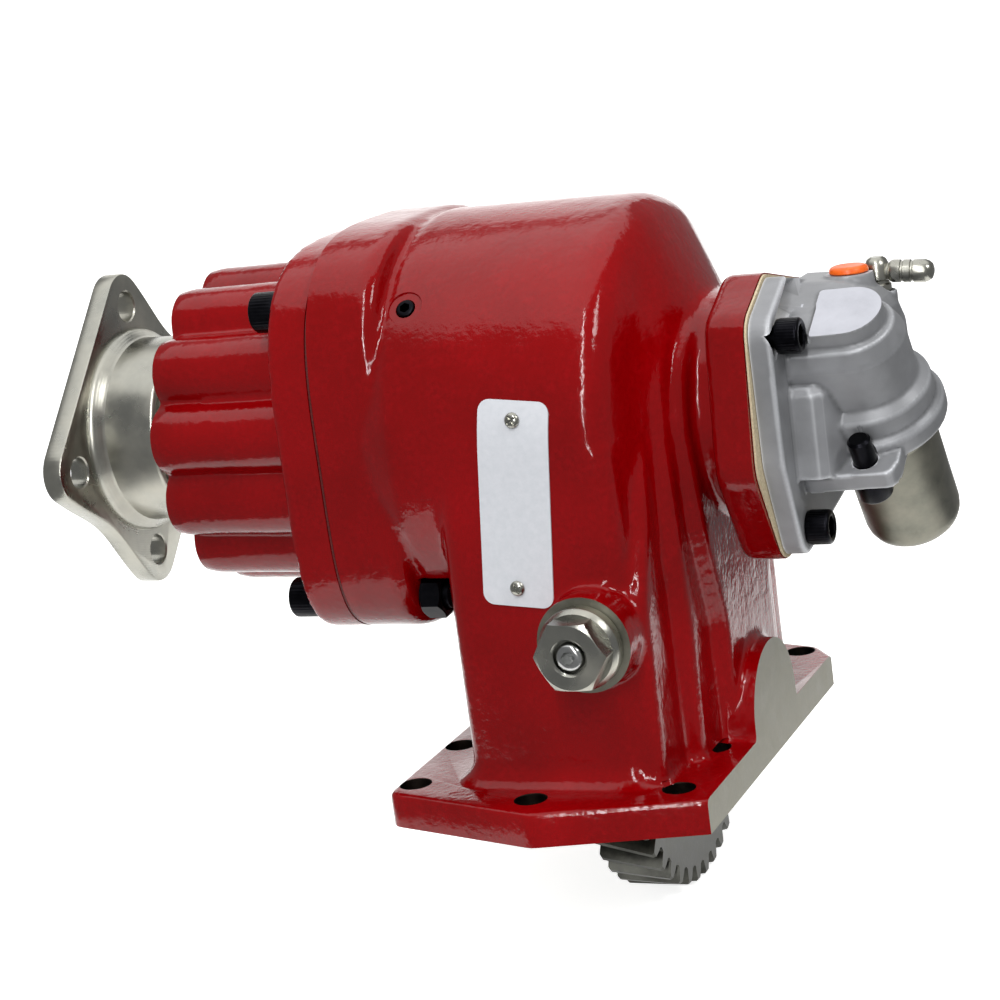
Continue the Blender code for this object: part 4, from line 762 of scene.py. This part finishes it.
coverShells = [
    lofted([(x, coverOutline(ear, bulge)) for x, ear, bulge in (
        (coverLeft - 2, 8.8, 9.6), (coverRight - 0.8, 8.8, 9.6), (coverRight, 8.2, 9.0))]),
    lofted([(x, bodyOutline(share)) for x, share in bodySteps]),
    leaning([(height, archwise(radius, 24.0)) for height, radius in barrelSteps]),
    leaning([(46.0, archwise(12.0, 10.5)), (54.5, archwise(11.8, 10.5))]),
    leaningRound(barrelRing),
    leaning([(1.4, lugOutline), (8.3, lugOutline)]),
    lofted([(106.0, lobeOutline), (134.5, lobeOutline), (137.5, lobeTop)], "Z"),
    upright([(150.0, 10.0), (168.0, 8.2), (170.5, 7.6)], 48, capPort),
    lofted([(136.0, circle(8.0, 48, (108.6, 9.2))), (161.0, circle(6.1, 48, fittingAt))], "Z"),
]
castCover = castFrom("castCover", coverShells, cover["voxel"], cover["rounds"], cover["wobble"])
boolean(castCover, block(coverLeft - 8, coverLeft, -70, 70, 60, 200))
boolean(castCover, leaningRound([(52.5, 0), (52.5, 30.0), (62.0, 30.0), (62.0, 0)], 24))
boolean(castCover, upright([(169.0, 14.0), (176.0, 14.0)], 24, capPort))
boolean(castCover, leaningRound([(5.9, 0), (5.9, 17.8), (-70.0, 17.8), (-70.0, 0)]))
drill(castCover, coverLeft - 1, coverLeft + 12, 24.0, 64)
for low, high, radius in ((-20, 30, 4.3), (-20, 1.4, 7.4), (8.3, 22, 4.7)):
    boolean(castCover, leaningRound([(low, 0), (low, radius), (high, radius), (high, 0)], 40, lugScrewAt))
for sides, at in (([(158.0, 4.0), (172.0, 4.0)], capPort), ([(149.0, 4.0), (162.5, 4.0)], fittingAt),
                  ([(159.5, 5.4), (176.0, 7.0)], fittingAt)):
    boolean(castCover, upright(sides, 32, at))
boolean(castCover, leaningRound([(5.0, 0), (5.0, 11.0), (22.0, 11.0), (22.0, 0)], 40))
for y, z in coverScrews:
    drill(castCover, coverLeft - 1, coverRight + 1, housing["coverHole"], 32, y, z)
    drill(castCover, coverRight + 0.9, coverRight + 8.6, 6.8, 40, y, z)
shaded(castCover, 38)
placed(castCover, "housing", "cast_alloy", alloy, "alloy_cover")
refaced(castCover, milledAlloy, lambda at, way: (
    way.dot(barrelUp) > 0.98 and (at - barrelCentre).dot(barrelUp) > 52.4
    and (at - barrelCentre - barrelUp * 52.5).length < 17.0))
print("cover:", len(castCover.data.polygons), "faces")

# Socket head screws, nuts and plugs
screwSizes = {"knurls": 36, "knurlDepth": 0.12,
              "capScrew": (4.7, 7.15, 9.5), "coverScrew": (3.9, 5.95, 8.0)}  # shank, head, height of head


def socketScrew(name, seat, tip, y, z, towards=1):
    # knurled head with a rolled rim and a deep hexagon
    shank, head, height = screwSizes[name[:-1]]
    outer = seat - towards * height
    knurl = screwSizes["knurls"] * 4
    rings = []

    def ring(x, radius, cutIn):
        points = []
        for k in range(knurl):
            angle = 2 * math.pi * k / knurl
            reach = radius - (cutIn if k % 4 < 2 else 0.0)
            points.append(Vector((x, *polar(reach, angle, y, z))))
        return points

    cut = screwSizes["knurlDepth"]
    levels = [(0.0, head - 0.9, 0.0), (0.25, head - 0.45, 0.0), (0.8, head - 0.05, 0.0), (1.3, head, cut),
              (height - 1.0, head, cut), (height - 0.5, head - 0.15, 0.0), (height, head - 0.2, 0.0),
              (height, shank, 0.0)]
    rings.append([Vector((outer, y, z))])
    for deep, radius, cutIn in levels:
        rings.append(ring(outer + towards * deep, radius, cutIn))
    rings.append(ring(tip - towards * 0.8, shank, 0.0))
    rings.append(ring(tip, shank - 0.8, 0.0))
    rings.append([Vector((tip, y, z))])
    item = asObject(name, skin(rings))
    flats = head * 1.14
    deep = sorted((outer - towards, outer + towards * height * 0.5))
    boolean(item, lofted([(at, hexagon(flats, (y, z), 11.0)) for at in deep]), solver="EXACT")
    start, end = outer - towards * 0.1, outer + towards * 0.45
    boolean(item, turned([(start, 0), (start, flats * 0.64), (end, flats * 0.52), (end, 0)], 48, y, z), solver="EXACT")
    return shaded(item, 40)


def hexNut(name, x0, x1, acrossFlats, bore, y, z, turn, bevel=1.0):
    outline = hexagon(acrossFlats, (y, z), turn)
    item = asObject(name, lofted([(x0, outline), (x1, outline)]))
    rim = acrossFlats * 0.5
    wide = acrossFlats * 0.6
    slope = bevel * 1.3
    boolean(item, turned([
        (x0, 0), (x0, rim - 0.3), (x0 + slope, wide), (x1 - slope, wide), (x1, rim - 0.3), (x1, 0),
    ], 96, y, z), "INTERSECT", "EXACT")
    boolean(item, turned([
        (x0 - 1, 0), (x0 - 1, bore + 1.8), (x0 + 0.8, bore), (x1 - 0.8, bore), (x1 + 1, bore + 1.8), (x1 + 1, 0),
    ], 48, y, z), solver="EXACT")
    return shaded(item, 25)


def blackened(item, node):
    placed(item, "housing", "black_oxide", blackOxide, node)


def plated(item, node, material=zincPlain, body="housing"):
    placed(item, body, "zinc_plate", material, node)


corners = ("near_top", "far_top", "near_bottom", "far_bottom")
for k, (y, z) in enumerate(capScrews):
    blackened(socketScrew("capScrew" + str(k + 1), -86.45, -52.0 if k < 2 else -33.5, y, z), "cap_screw_" + corners[k])
    if k >= 2:
        nut = hexNut("capNut" + str(k - 1), -44.25, -36.0, 14.3, 5.0, y, z, 15)
        blackened(nut, ("cap_nut_near", "cap_nut_far")[k - 2])
for k, (y, z) in enumerate(coverScrews):
    blackened(socketScrew("coverScrew" + str(k + 1), 88.75, 71.0, y, z, -1), "cover_screw_" + str(k + 1))
lugScrew = asObject("lugScrewFine", leaningRound([
    (-6.6, 0), (-6.6, 5.2), (-6.3, 5.7), (-5.8, 6.0), (0.7, 6.0), (1.15, 5.7), (1.15, 3.95), (17.4, 3.95), (18.3, 3.1),
    (18.3, 0),
], 48, lugScrewAt))
boolean(lugScrew, leaning([(-8.0, hexagon(6.4, lugScrewAt)), (-2.5, hexagon(6.4, lugScrewAt))]), solver="EXACT")
blackened(shaded(lugScrew), "lug_screw")
plugShape = turned([(-9.0, 0), (-9.0, 3.3), (-0.7, 3.3), (-0.2, 3.1), (0.0, 2.7), (0.0, 0)], 40, 0.0, 0.0)
plug = asObject("shoulderPlug", aimed(plugShape, plugSeat, plugWay))
boolean(plug, aimed(lofted([(-4.0, hexagon(3.4)), (1.0, hexagon(3.4))]), plugSeat, plugWay), solver="EXACT")
blackened(shaded(plug), "pipe_plug")
print("screws done")

# Companion flange, its nut and the dust slinger
companion = {"face": -190.1, "plate": 8.0, "boltCircle": 95.25, "hole": 5.7, "pilot": 34.925, "hub": 35.0,
             "ear": 12.8, "angle": 136.8, "halfSpread": 50.2, "waist": 5.0}
companionHoles = []
for side in (-1, 1):
    for halfTurn in (0, 180):
        angle = math.radians(companion["angle"] + side * companion["halfSpread"] + halfTurn)
        companionHoles.append(polar(companion["boltCircle"] / 2, angle))


def companionOutline(change=0.0, count=240):
    straight = hullOutline([(y, z, companion["ear"] + change) for y, z in companionHoles], 1440)
    found = []
    for k in range(count):
        angle = 2 * math.pi * (k + 0.5) / count
        way = Vector((math.cos(angle), math.sin(angle)))
        reach = 0.0
        for (y0, z0), (y1, z1) in zip(straight, straight[1:] + straight[:1]):
            edge = Vector((y1 - y0, z1 - z0))
            across = way.x * edge.y - way.y * edge.x
            if abs(across) < 1e-9:
                continue
            start = Vector((y0, z0 - shaftZ))
            far = (start.x * edge.y - start.y * edge.x) / across
            share = (start.x * way.y - start.y * way.x) / across
            if far > 0 and -1e-6 <= share <= 1 + 1e-6:
                reach = max(reach, far)
        turn = math.degrees(angle) - companion["angle"]
        hollow = max(0.0, math.cos(math.radians(2 * (turn - 90)))) ** 2
        reach -= companion["waist"] * hollow
        found.append((reach * way.x, shaftZ + reach * way.y))
    return found


face, back = companion["face"], companion["face"] + companion["plate"]
hub, pilot, hole = companion["hub"], companion["pilot"], companion["hole"]
flangeFine = asObject("companionFlangeFine", lofted([(x, companionOutline(change)) for x, change in (
    (face, -0.7), (face + 0.25, -0.25), (face + 0.8, 0.0), (back - 0.8, 0.0), (back - 0.25, -0.25), (back, -0.7))]))
boolean(flangeFine, turned([
    (face + 3, 0), (face + 3, 39.0), (back + 1.2, 39.0), (back + 2.6, 38.2), (back + 4.2, 36.2), (back + 5.5, 35.2),
    (back + 7.5, hub), (-157.4, hub), (-156.4, hub - 0.4), (-155.5, hub - 1.5), (-155.5, 27.0), (-151.5, 27.0),
    (-151.5, 22.5), (-124.5, 22.5), (-124.5, 0),
], 160), "UNION", "EXACT")
boolean(flangeFine, turned([
    (face - 1, 0), (face - 1, 36.2), (face + 0.6, pilot), (face + 5, pilot), (face + 5, 26.0), (face + 7, 24.0),
    (-165.5, 24.0), (-165.5, 15.75), (-123.5, 15.75), (-123.5, 0),
], 128), solver="EXACT")
for y, z in companionHoles:
    boolean(flangeFine, turned([
        (face - 1, 0), (face - 1, 7.2), (face + 0.5, hole), (back - 0.5, hole), (back + 1, 7.2), (back + 1, 0),
    ], 48, y, z), solver="EXACT")
plated(shaded(flangeFine, 30), "companion_flange", zincTurned, "output")
washerFine = asObject("flangeWasherFine", turned([
    (-168.0, 12.9), (-168.0, 20.6), (-167.6, 21.0), (-166.1, 21.0), (-165.75, 20.6), (-165.75, 12.9),
], 96))
plated(washerFine, "flange_washer", body="output")
plated(hexNut("flangeNutFine", -180.25, -168.25, 36.0, 12.4, 0.0, shaftZ, 12, 1.8), "flange_nut", body="output")
slinger = asObject("dustSlingerFine", turned([
    (-151.0, 22.8), (-151.0, 36.0), (-150.4, 37.2), (-148.6, 38.2), (-147.6, 38.5), (-145.5, 38.5), (-145.5, 37.6),
    (-147.2, 37.4), (-148.6, 36.4), (-149.5, 35.3), (-149.5, 22.8),
], 128))
plated(slinger, "dust_slinger", body="output")
print("companion flange done")

# Input gear: finer teeth with a chamfered rim
gear = {"module": 3.0, "teeth": 40, "pressure": 20.0, "helix": 20.0, "left": 7.0, "right": 28.0, "backlash": 0.5,
        "bore": 14.5, "chamfer": 0.9}


def involuteOf(radius, base):
    tilt = math.acos(min(1.0, base / radius))
    return math.tan(tilt) - tilt


def gearOutline(inset, turn):
    g = gear
    pitch = g["module"] * g["teeth"] / 2
    base = pitch * math.cos(math.radians(g["pressure"]))
    tip = pitch + g["module"] - inset
    root = pitch - 1.25 * g["module"] + 0.5
    involute = math.tan(math.radians(g["pressure"])) - math.radians(g["pressure"])
    halfTooth = (math.pi * g["module"] / 2 - g["backlash"]) / 2 / pitch
    low = max(base, root) + 0.02
    found = []
    flank = [(root, None), (root + 0.5, None)] + [(low + 0.4 + (tip - low - 0.4) * n / 4, n) for n in range(5)]
    half = []
    for radius, n in flank:
        if n is None:  # the fillet at the foot of the tooth
            halfLow = halfTooth + involute - involuteOf(low + 0.4, base)
            half.append((radius, halfLow + (0.016 if radius == root else 0.004)))
        else:
            half.append((radius, halfTooth + involute - involuteOf(radius, base)))
    for k in range(g["teeth"]):
        middle = math.pi / 2 + math.pi / g["teeth"] + turn + 2 * math.pi * k / g["teeth"]
        left = [(radius, middle - away) for radius, away in half]
        for radius, at in left + [(radius, middle + away) for radius, away in reversed(half)]:
            found.append(polar(radius, at, 0.0, gearZ))
    return found


def gearSections():
    g = gear
    pitch = g["module"] * g["teeth"] / 2
    twist = (g["right"] - g["left"]) * math.tan(math.radians(g["helix"])) / pitch
    rim = g["chamfer"]
    return [(g["left"] + x, gearOutline(inset, twist * (x / 21.0 - 0.5))) for x, inset in (
        (0.0, rim), (0.7, 0.0), (5.0, 0.0), (10.5, 0.0), (16.0, 0.0), (20.3, 0.0), (21.0, rim))]


gearFine = asObject("inputGearFine", lofted(gearSections()), 28)
boolean(gearFine, turned([
    (6.0, 0), (6.0, 15.7), (7.6, gear["bore"]), (27.4, gear["bore"]), (29.0, 15.7), (29.0, 0),
], 64, 0.0, gearZ), solver="EXACT")
placed(shaded(gearFine, 28), "input_gear_body", "gear_steel", gearSteel, "input_gear")
print("input gear done")

# Return spring inside the clutch; the real one shortens as the piston comes in, but this mesh has one fixed length
returnSpring = {"wire": 1.2, "turns": 3.0, "mean": 31.2, "stroke": 2.0, "steps": 36, "sides": 12}


def springMesh():
    s = returnSpring
    low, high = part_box("piston_spring")
    x0, x1 = low[0] * 1000 + s["wire"], high[0] * 1000 - s["wire"]
    count = int(s["turns"] * s["steps"])
    rings = []
    for k in range(count + 1):
        share = k / count
        rise = min(1.0, max(0.0, (share * s["turns"] - 0.5) / (s["turns"] - 1)))  # half a turn lies flat at each end
        angle = 2 * math.pi * s["turns"] * share
        ring = []
        for n in range(s["sides"]):
            around = 2 * math.pi * n / s["sides"]
            far = s["mean"] + s["wire"] * math.cos(around)
            x = x0 + (x1 - x0) * rise + s["wire"] * math.sin(around)
            ring.append((x, *polar(far, angle)))
        rings.append(ring)
    return skin(rings), low[0], high[0]


springShape, springStart, springEnd = springMesh()
springFine = asObject("returnSpringFine", springShape, 60)
placed(springFine, "output", "spring_steel", springSteel, "piston_spring")
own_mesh(springFine)
print("return spring done")

# Fittings on the cover
can = asObject("valveCanFine", leaningRound([
    (21.0, 0), (21.0, 10.6), (5.65, 10.6), (5.65, 16.6), (5.2, 17.1), (4.4, 17.3), (0.0, 17.2), (-0.6, 16.9),
    (-1.2, 16.9), (-37.0, 16.8), (-39.5, 16.4), (-41.5, 15.5), (-43.0, 14.0), (-44.3, 11.4), (-45.2, 7.0), (-45.6, 3.0),
    (-45.7, 0),
], 96))
plated(can, "valve_can", zincDull)
capFine = asObject("orangeCapFine", upright([
    (160.0, 3.7), (169.25, 3.7), (169.25, 6.5), (169.6, 6.7), (170.6, 6.55), (171.2, 6.1), (171.6, 5.2), (171.4, 3.0),
], 40, capPort))
placed(capFine, "housing", "orange_plastic", orangeCapStock, "orange_cap")
elbow = asObject("elbowFittingFine", upright([
    (150.0, 3.7), (159.75, 3.7), (159.75, 4.4), (163.0, 4.4), (163.6, 3.8), (164.4, 3.8), (165.0, 4.3), (169.6, 4.2),
    (171.6, 3.4), (172.5, 2.2),
], 40, fittingAt))
nozzle = turned([
    (0.0, 0), (0.0, 2.6), (4.0, 2.8), (4.6, 3.5), (5.5, 3.9), (8.0, 3.9), (8.3, 3.5), (8.9, 3.5), (9.2, 3.9),
    (11.4, 3.9), (11.7, 3.5), (12.3, 3.5), (12.6, 3.9), (16.5, 3.9), (17.8, 3.4), (18.8, 2.6), (19.3, 1.2), (19.3, 0),
], 40, 0.0, 0.0)
boolean(elbow, aimed(nozzle, (*fittingAt, 167.6), (1, 0.05, -0.07)), "UNION", "EXACT")
plated(shaded(elbow), "elbow_fitting")

# Hexagon port fitting and its stud
portHex = hexagon(22.2)
port = asObject("portFittingFine", lofted([(5.6, portHex), (14.0, portHex)]))
boolean(port, turned([
    (4.0, 0), (4.0, 13.5), (12.4, 13.5), (13.4, 12.0), (14.0, 10.9), (14.0, 0),
], 96, 0.0, 0.0), "INTERSECT", "EXACT")
boolean(port, turned([
    (-22.0, 0), (-22.0, 7.6), (0.25, 7.6), (0.25, 13.6), (0.7, 14.0), (4.6, 14.0), (5.4, 13.6), (6.5, 12.6), (6.5, 0),
], 96, 0.0, 0.0), "UNION", "EXACT")
boolean(port, turned([
    (-23, 0), (-23, 4.4), (10.0, 4.4), (10.0, 5.6), (13.2, 5.6), (14.4, 6.8), (15, 6.8), (15, 0),
], 64, 0.0, 0.0), solver="EXACT")
outwards = Vector((1, 0, 0)).rotation_difference(Vector((0, -1, 0))).to_matrix().to_4x4()
aimedPort = Matrix.Translation(Vector(portAt) * mm) @ outwards
port.data.transform(aimedPort)
plated(shaded(port, 25), "port_fitting")
stud = asObject("portStudFine", turned([
    (-18, 0), (-18, 4.1), (9.6, 4.1), (10.2, 4.9), (12.6, 4.9), (13.6, 4.5), (14.2, 3.7), (14.4, 2.9), (14.4, 0),
], 64, 0.0, 0.0))
boolean(stud, lofted([(9.5, hexagon(4.4)), (16.0, hexagon(4.4))]), solver="EXACT")
stud.data.transform(aimedPort)
plated(shaded(stud), "port_stud", groundSteel)
print("fittings done")

# Label plate on the front wall, left bare, with two drive screws
label = {"centre": (3.2, 111.0), "tilt": math.radians(5.6), "wide": 25.2, "tall": 70.0, "corner": 4.0, "thick": 0.6,
         "gap": 0.25, "reach": 28.6}


def wallY(z):
    rise = max(0.0, z - shaftZ)
    return -math.sqrt(housing["drumRadius"]**2 - rise**2)


def wallWay(z):
    return Vector((0, wallY(z), max(0.0, z - shaftZ))).normalized()


wide, tall = label["wide"] / 2, label["tall"] / 2
labelOutline = roundedBox(-wide, wide, -tall, tall, label["corner"], 10)
sheet = lofted([(-5.0, labelOutline), (5.0, labelOutline)], "Z")
for row in range(1, 40):
    height = (row / 40 - 0.5) * label["tall"]
    everything = sheet.verts[:] + sheet.edges[:] + sheet.faces[:]
    bmesh.ops.bisect_plane(sheet, geom=everything, plane_co=(0, height, 0), plane_no=(0, 1, 0), dist=1e-5)
for vertex in sheet.verts:
    x, y = vertex.co.x, vertex.co.y
    across = label["centre"][0] + x * math.cos(label["tilt"]) + y * math.sin(label["tilt"])
    high = label["centre"][1] - x * math.sin(label["tilt"]) + y * math.cos(label["tilt"])
    lift = label["gap"] if vertex.co.z < 0 else label["gap"] + label["thick"]
    vertex.co = Vector((across, wallY(high), high)) + wallWay(high) * lift
labelPlate = asObject("labelPlateFine", sheet)
placed(shaded(labelPlate, 40), "housing", "label_stock", labelStock, "label_plate")
for k, end in enumerate((-1, 1)):
    # pan head with a rolled edge and a cross cut
    along = end * label["reach"]
    x = label["centre"][0] + along * math.sin(label["tilt"])
    z = label["centre"][1] + along * math.cos(label["tilt"])
    seat = (x, wallY(z), z)
    pin = asObject("driveScrewFine" + str(k + 1), aimed(turned([
        (-5.0, 0), (-5.0, 1.2), (1.1, 1.2), (1.1, 2.5), (1.4, 2.65), (1.8, 2.5), (2.3, 1.9), (2.55, 1.1), (2.6, 0),
    ], 40, 0.0, 0.0), seat, wallWay(z)))
    for turn in (0, 90):
        bar = lofted([(deep, [(1.8, half), (-1.8, half), (-1.8, -half), (1.8, -half)])
                      for deep, half in ((1.9, 0.28), (3.4, 0.34))])
        bmesh.ops.rotate(bar, verts=bar.verts, cent=(0, 0, 0), matrix=Matrix.Rotation(math.radians(turn + 25), 3, "X"))
        boolean(pin, aimed(bar, seat, wallWay(z)), solver="EXACT")
    plated(shaded(pin), "drive_screw_" + str(k + 1))
print("label done")

# Floor, camera, light
stageLook = {
    "floorZ": -0.0496, "sweep": {"front": -0.17, "back": 1.5, "bend": 0.35, "tall": 1.5, "wide": 0.54, "flare": 0.4},
    "floorDark": "#F1F1EF", "floorLight": "#F4F4F2", "world": 0.3, "shine": 0.77, "target": (-0.02, 0.0, 0.1),
    "topPower": 16.0, "stripPower": 16.0, "sidePower": 5.0,
}
ahead = Vector((-0.412, 0.911, 0.0))  # level direction in which the camera looks
sweep = stageLook["sweep"]
bendStart = sweep["back"] - sweep["bend"]
bend = [(sweep["front"], 0.0), (bendStart, 0.0)]
for n in range(1, 25):
    angle = math.pi / 2 * n / 24
    bend.append((bendStart + sweep["bend"] * math.sin(angle), sweep["bend"] * (1 - math.cos(angle))))
bend.append((sweep["back"], sweep["tall"]))
paper = bmesh.new()
rows = []
for far, high in bend:
    centre = ahead * far + Vector((0, 0, stageLook["floorZ"] + high))
    across = Vector((ahead.y, -ahead.x, 0)) * (sweep["wide"] + sweep["flare"] * far) / 2
    rows.append((paper.verts.new(centre - across), paper.verts.new(centre + across)))
for first, second in zip(rows, rows[1:]):
    paper.faces.new((first[0], first[1], second[1], second[0]))
floorData = bpy.data.meshes.new("floor")
paper.to_mesh(floorData)
paper.free()
floorData.shade_smooth()
floor = linked("floor", floorData)
paperStock, tree, shader, place = startMaterial("mattWhiteBackdropPaper", 0.0, 0.9)
paperTone = colours(tree, grain(tree, place, 40, 2.0), [(0.2, stageLook["floorDark"]), (0.8, stageLook["floorLight"])])
tree.links.new(paperTone, shader.inputs["Base Color"])


def seenRays(tree):
    # 1 for the rays that show the background: straight to the camera, mirrored or seen through something
    paths = addNode(tree, "ShaderNodeLightPath")
    seen = calc(tree, "MAXIMUM", paths.outputs["Is Camera Ray"], paths.outputs["Is Glossy Ray"])
    return calc(tree, "MAXIMUM", seen, paths.outputs["Is Transmission Ray"])


shader.inputs["Emission Color"].default_value = toLinear("#FFFFFF")
tree.links.new(calc(tree, "MULTIPLY", seenRays(tree), stageLook["shine"]), shader.inputs["Emission Strength"])
floorData.materials.append(paperStock)

world = bpy.data.worlds.new("studio")
bpy.context.scene.world = world
world.use_nodes = True
tree = world.node_tree
tree.nodes.clear()
dim = addNode(tree, "ShaderNodeBackground", {"Color": toLinear("#F2F3F5"), "Strength": stageLook["world"]})
addNode(tree, "ShaderNodeOutputWorld", None, {"Surface": dim.outputs[0]})

cameraLook = {
    "lens": 88.058, "at": (0.324644, -0.795955, 0.29095), "right": (0.914926, 0.382013, -0.13029),
    "up": (0.03204, 0.253046, 0.966924), "back": (0.402347, -0.888838, 0.219279),
}
cameraData = bpy.data.cameras.new("camera")
cameraData.sensor_width = 36.0
cameraData.lens = cameraLook["lens"]
cameraData.clip_end = 10.0
camera = linked("camera", cameraData)
axes = Matrix([Vector(cameraLook[name]) for name in ("right", "up", "back")]).transposed().to_4x4()
camera.matrix_world = Matrix.Translation(Vector(cameraLook["at"])) @ axes
bpy.context.scene.camera = camera


def areaLight(name, at, wide, tall, power):
    data = bpy.data.lights.new(name, "AREA")
    data.shape = "RECTANGLE"
    data.size = wide
    data.size_y = tall
    data.energy = power
    lamp = linked(name, data)
    lamp.location = at
    away = Vector(stageLook["target"]) - Vector(at)
    lamp.rotation_euler = away.to_track_quat("-Z", "Y").to_euler()


areaLight("topSoftbox", (-0.15, 0.1, 1.5), 2.4, 1.8, stageLook["topPower"])
areaLight("frontStrip", (0.25, -1.3, 0.85), 0.055, 1.7, stageLook["stripPower"])
areaLight("rightBox", (1.0, -0.35, 1.0), 0.35, 0.35, stageLook["sidePower"])
bpy.context.scene.view_settings.view_transform = "Standard"
print("stage set")
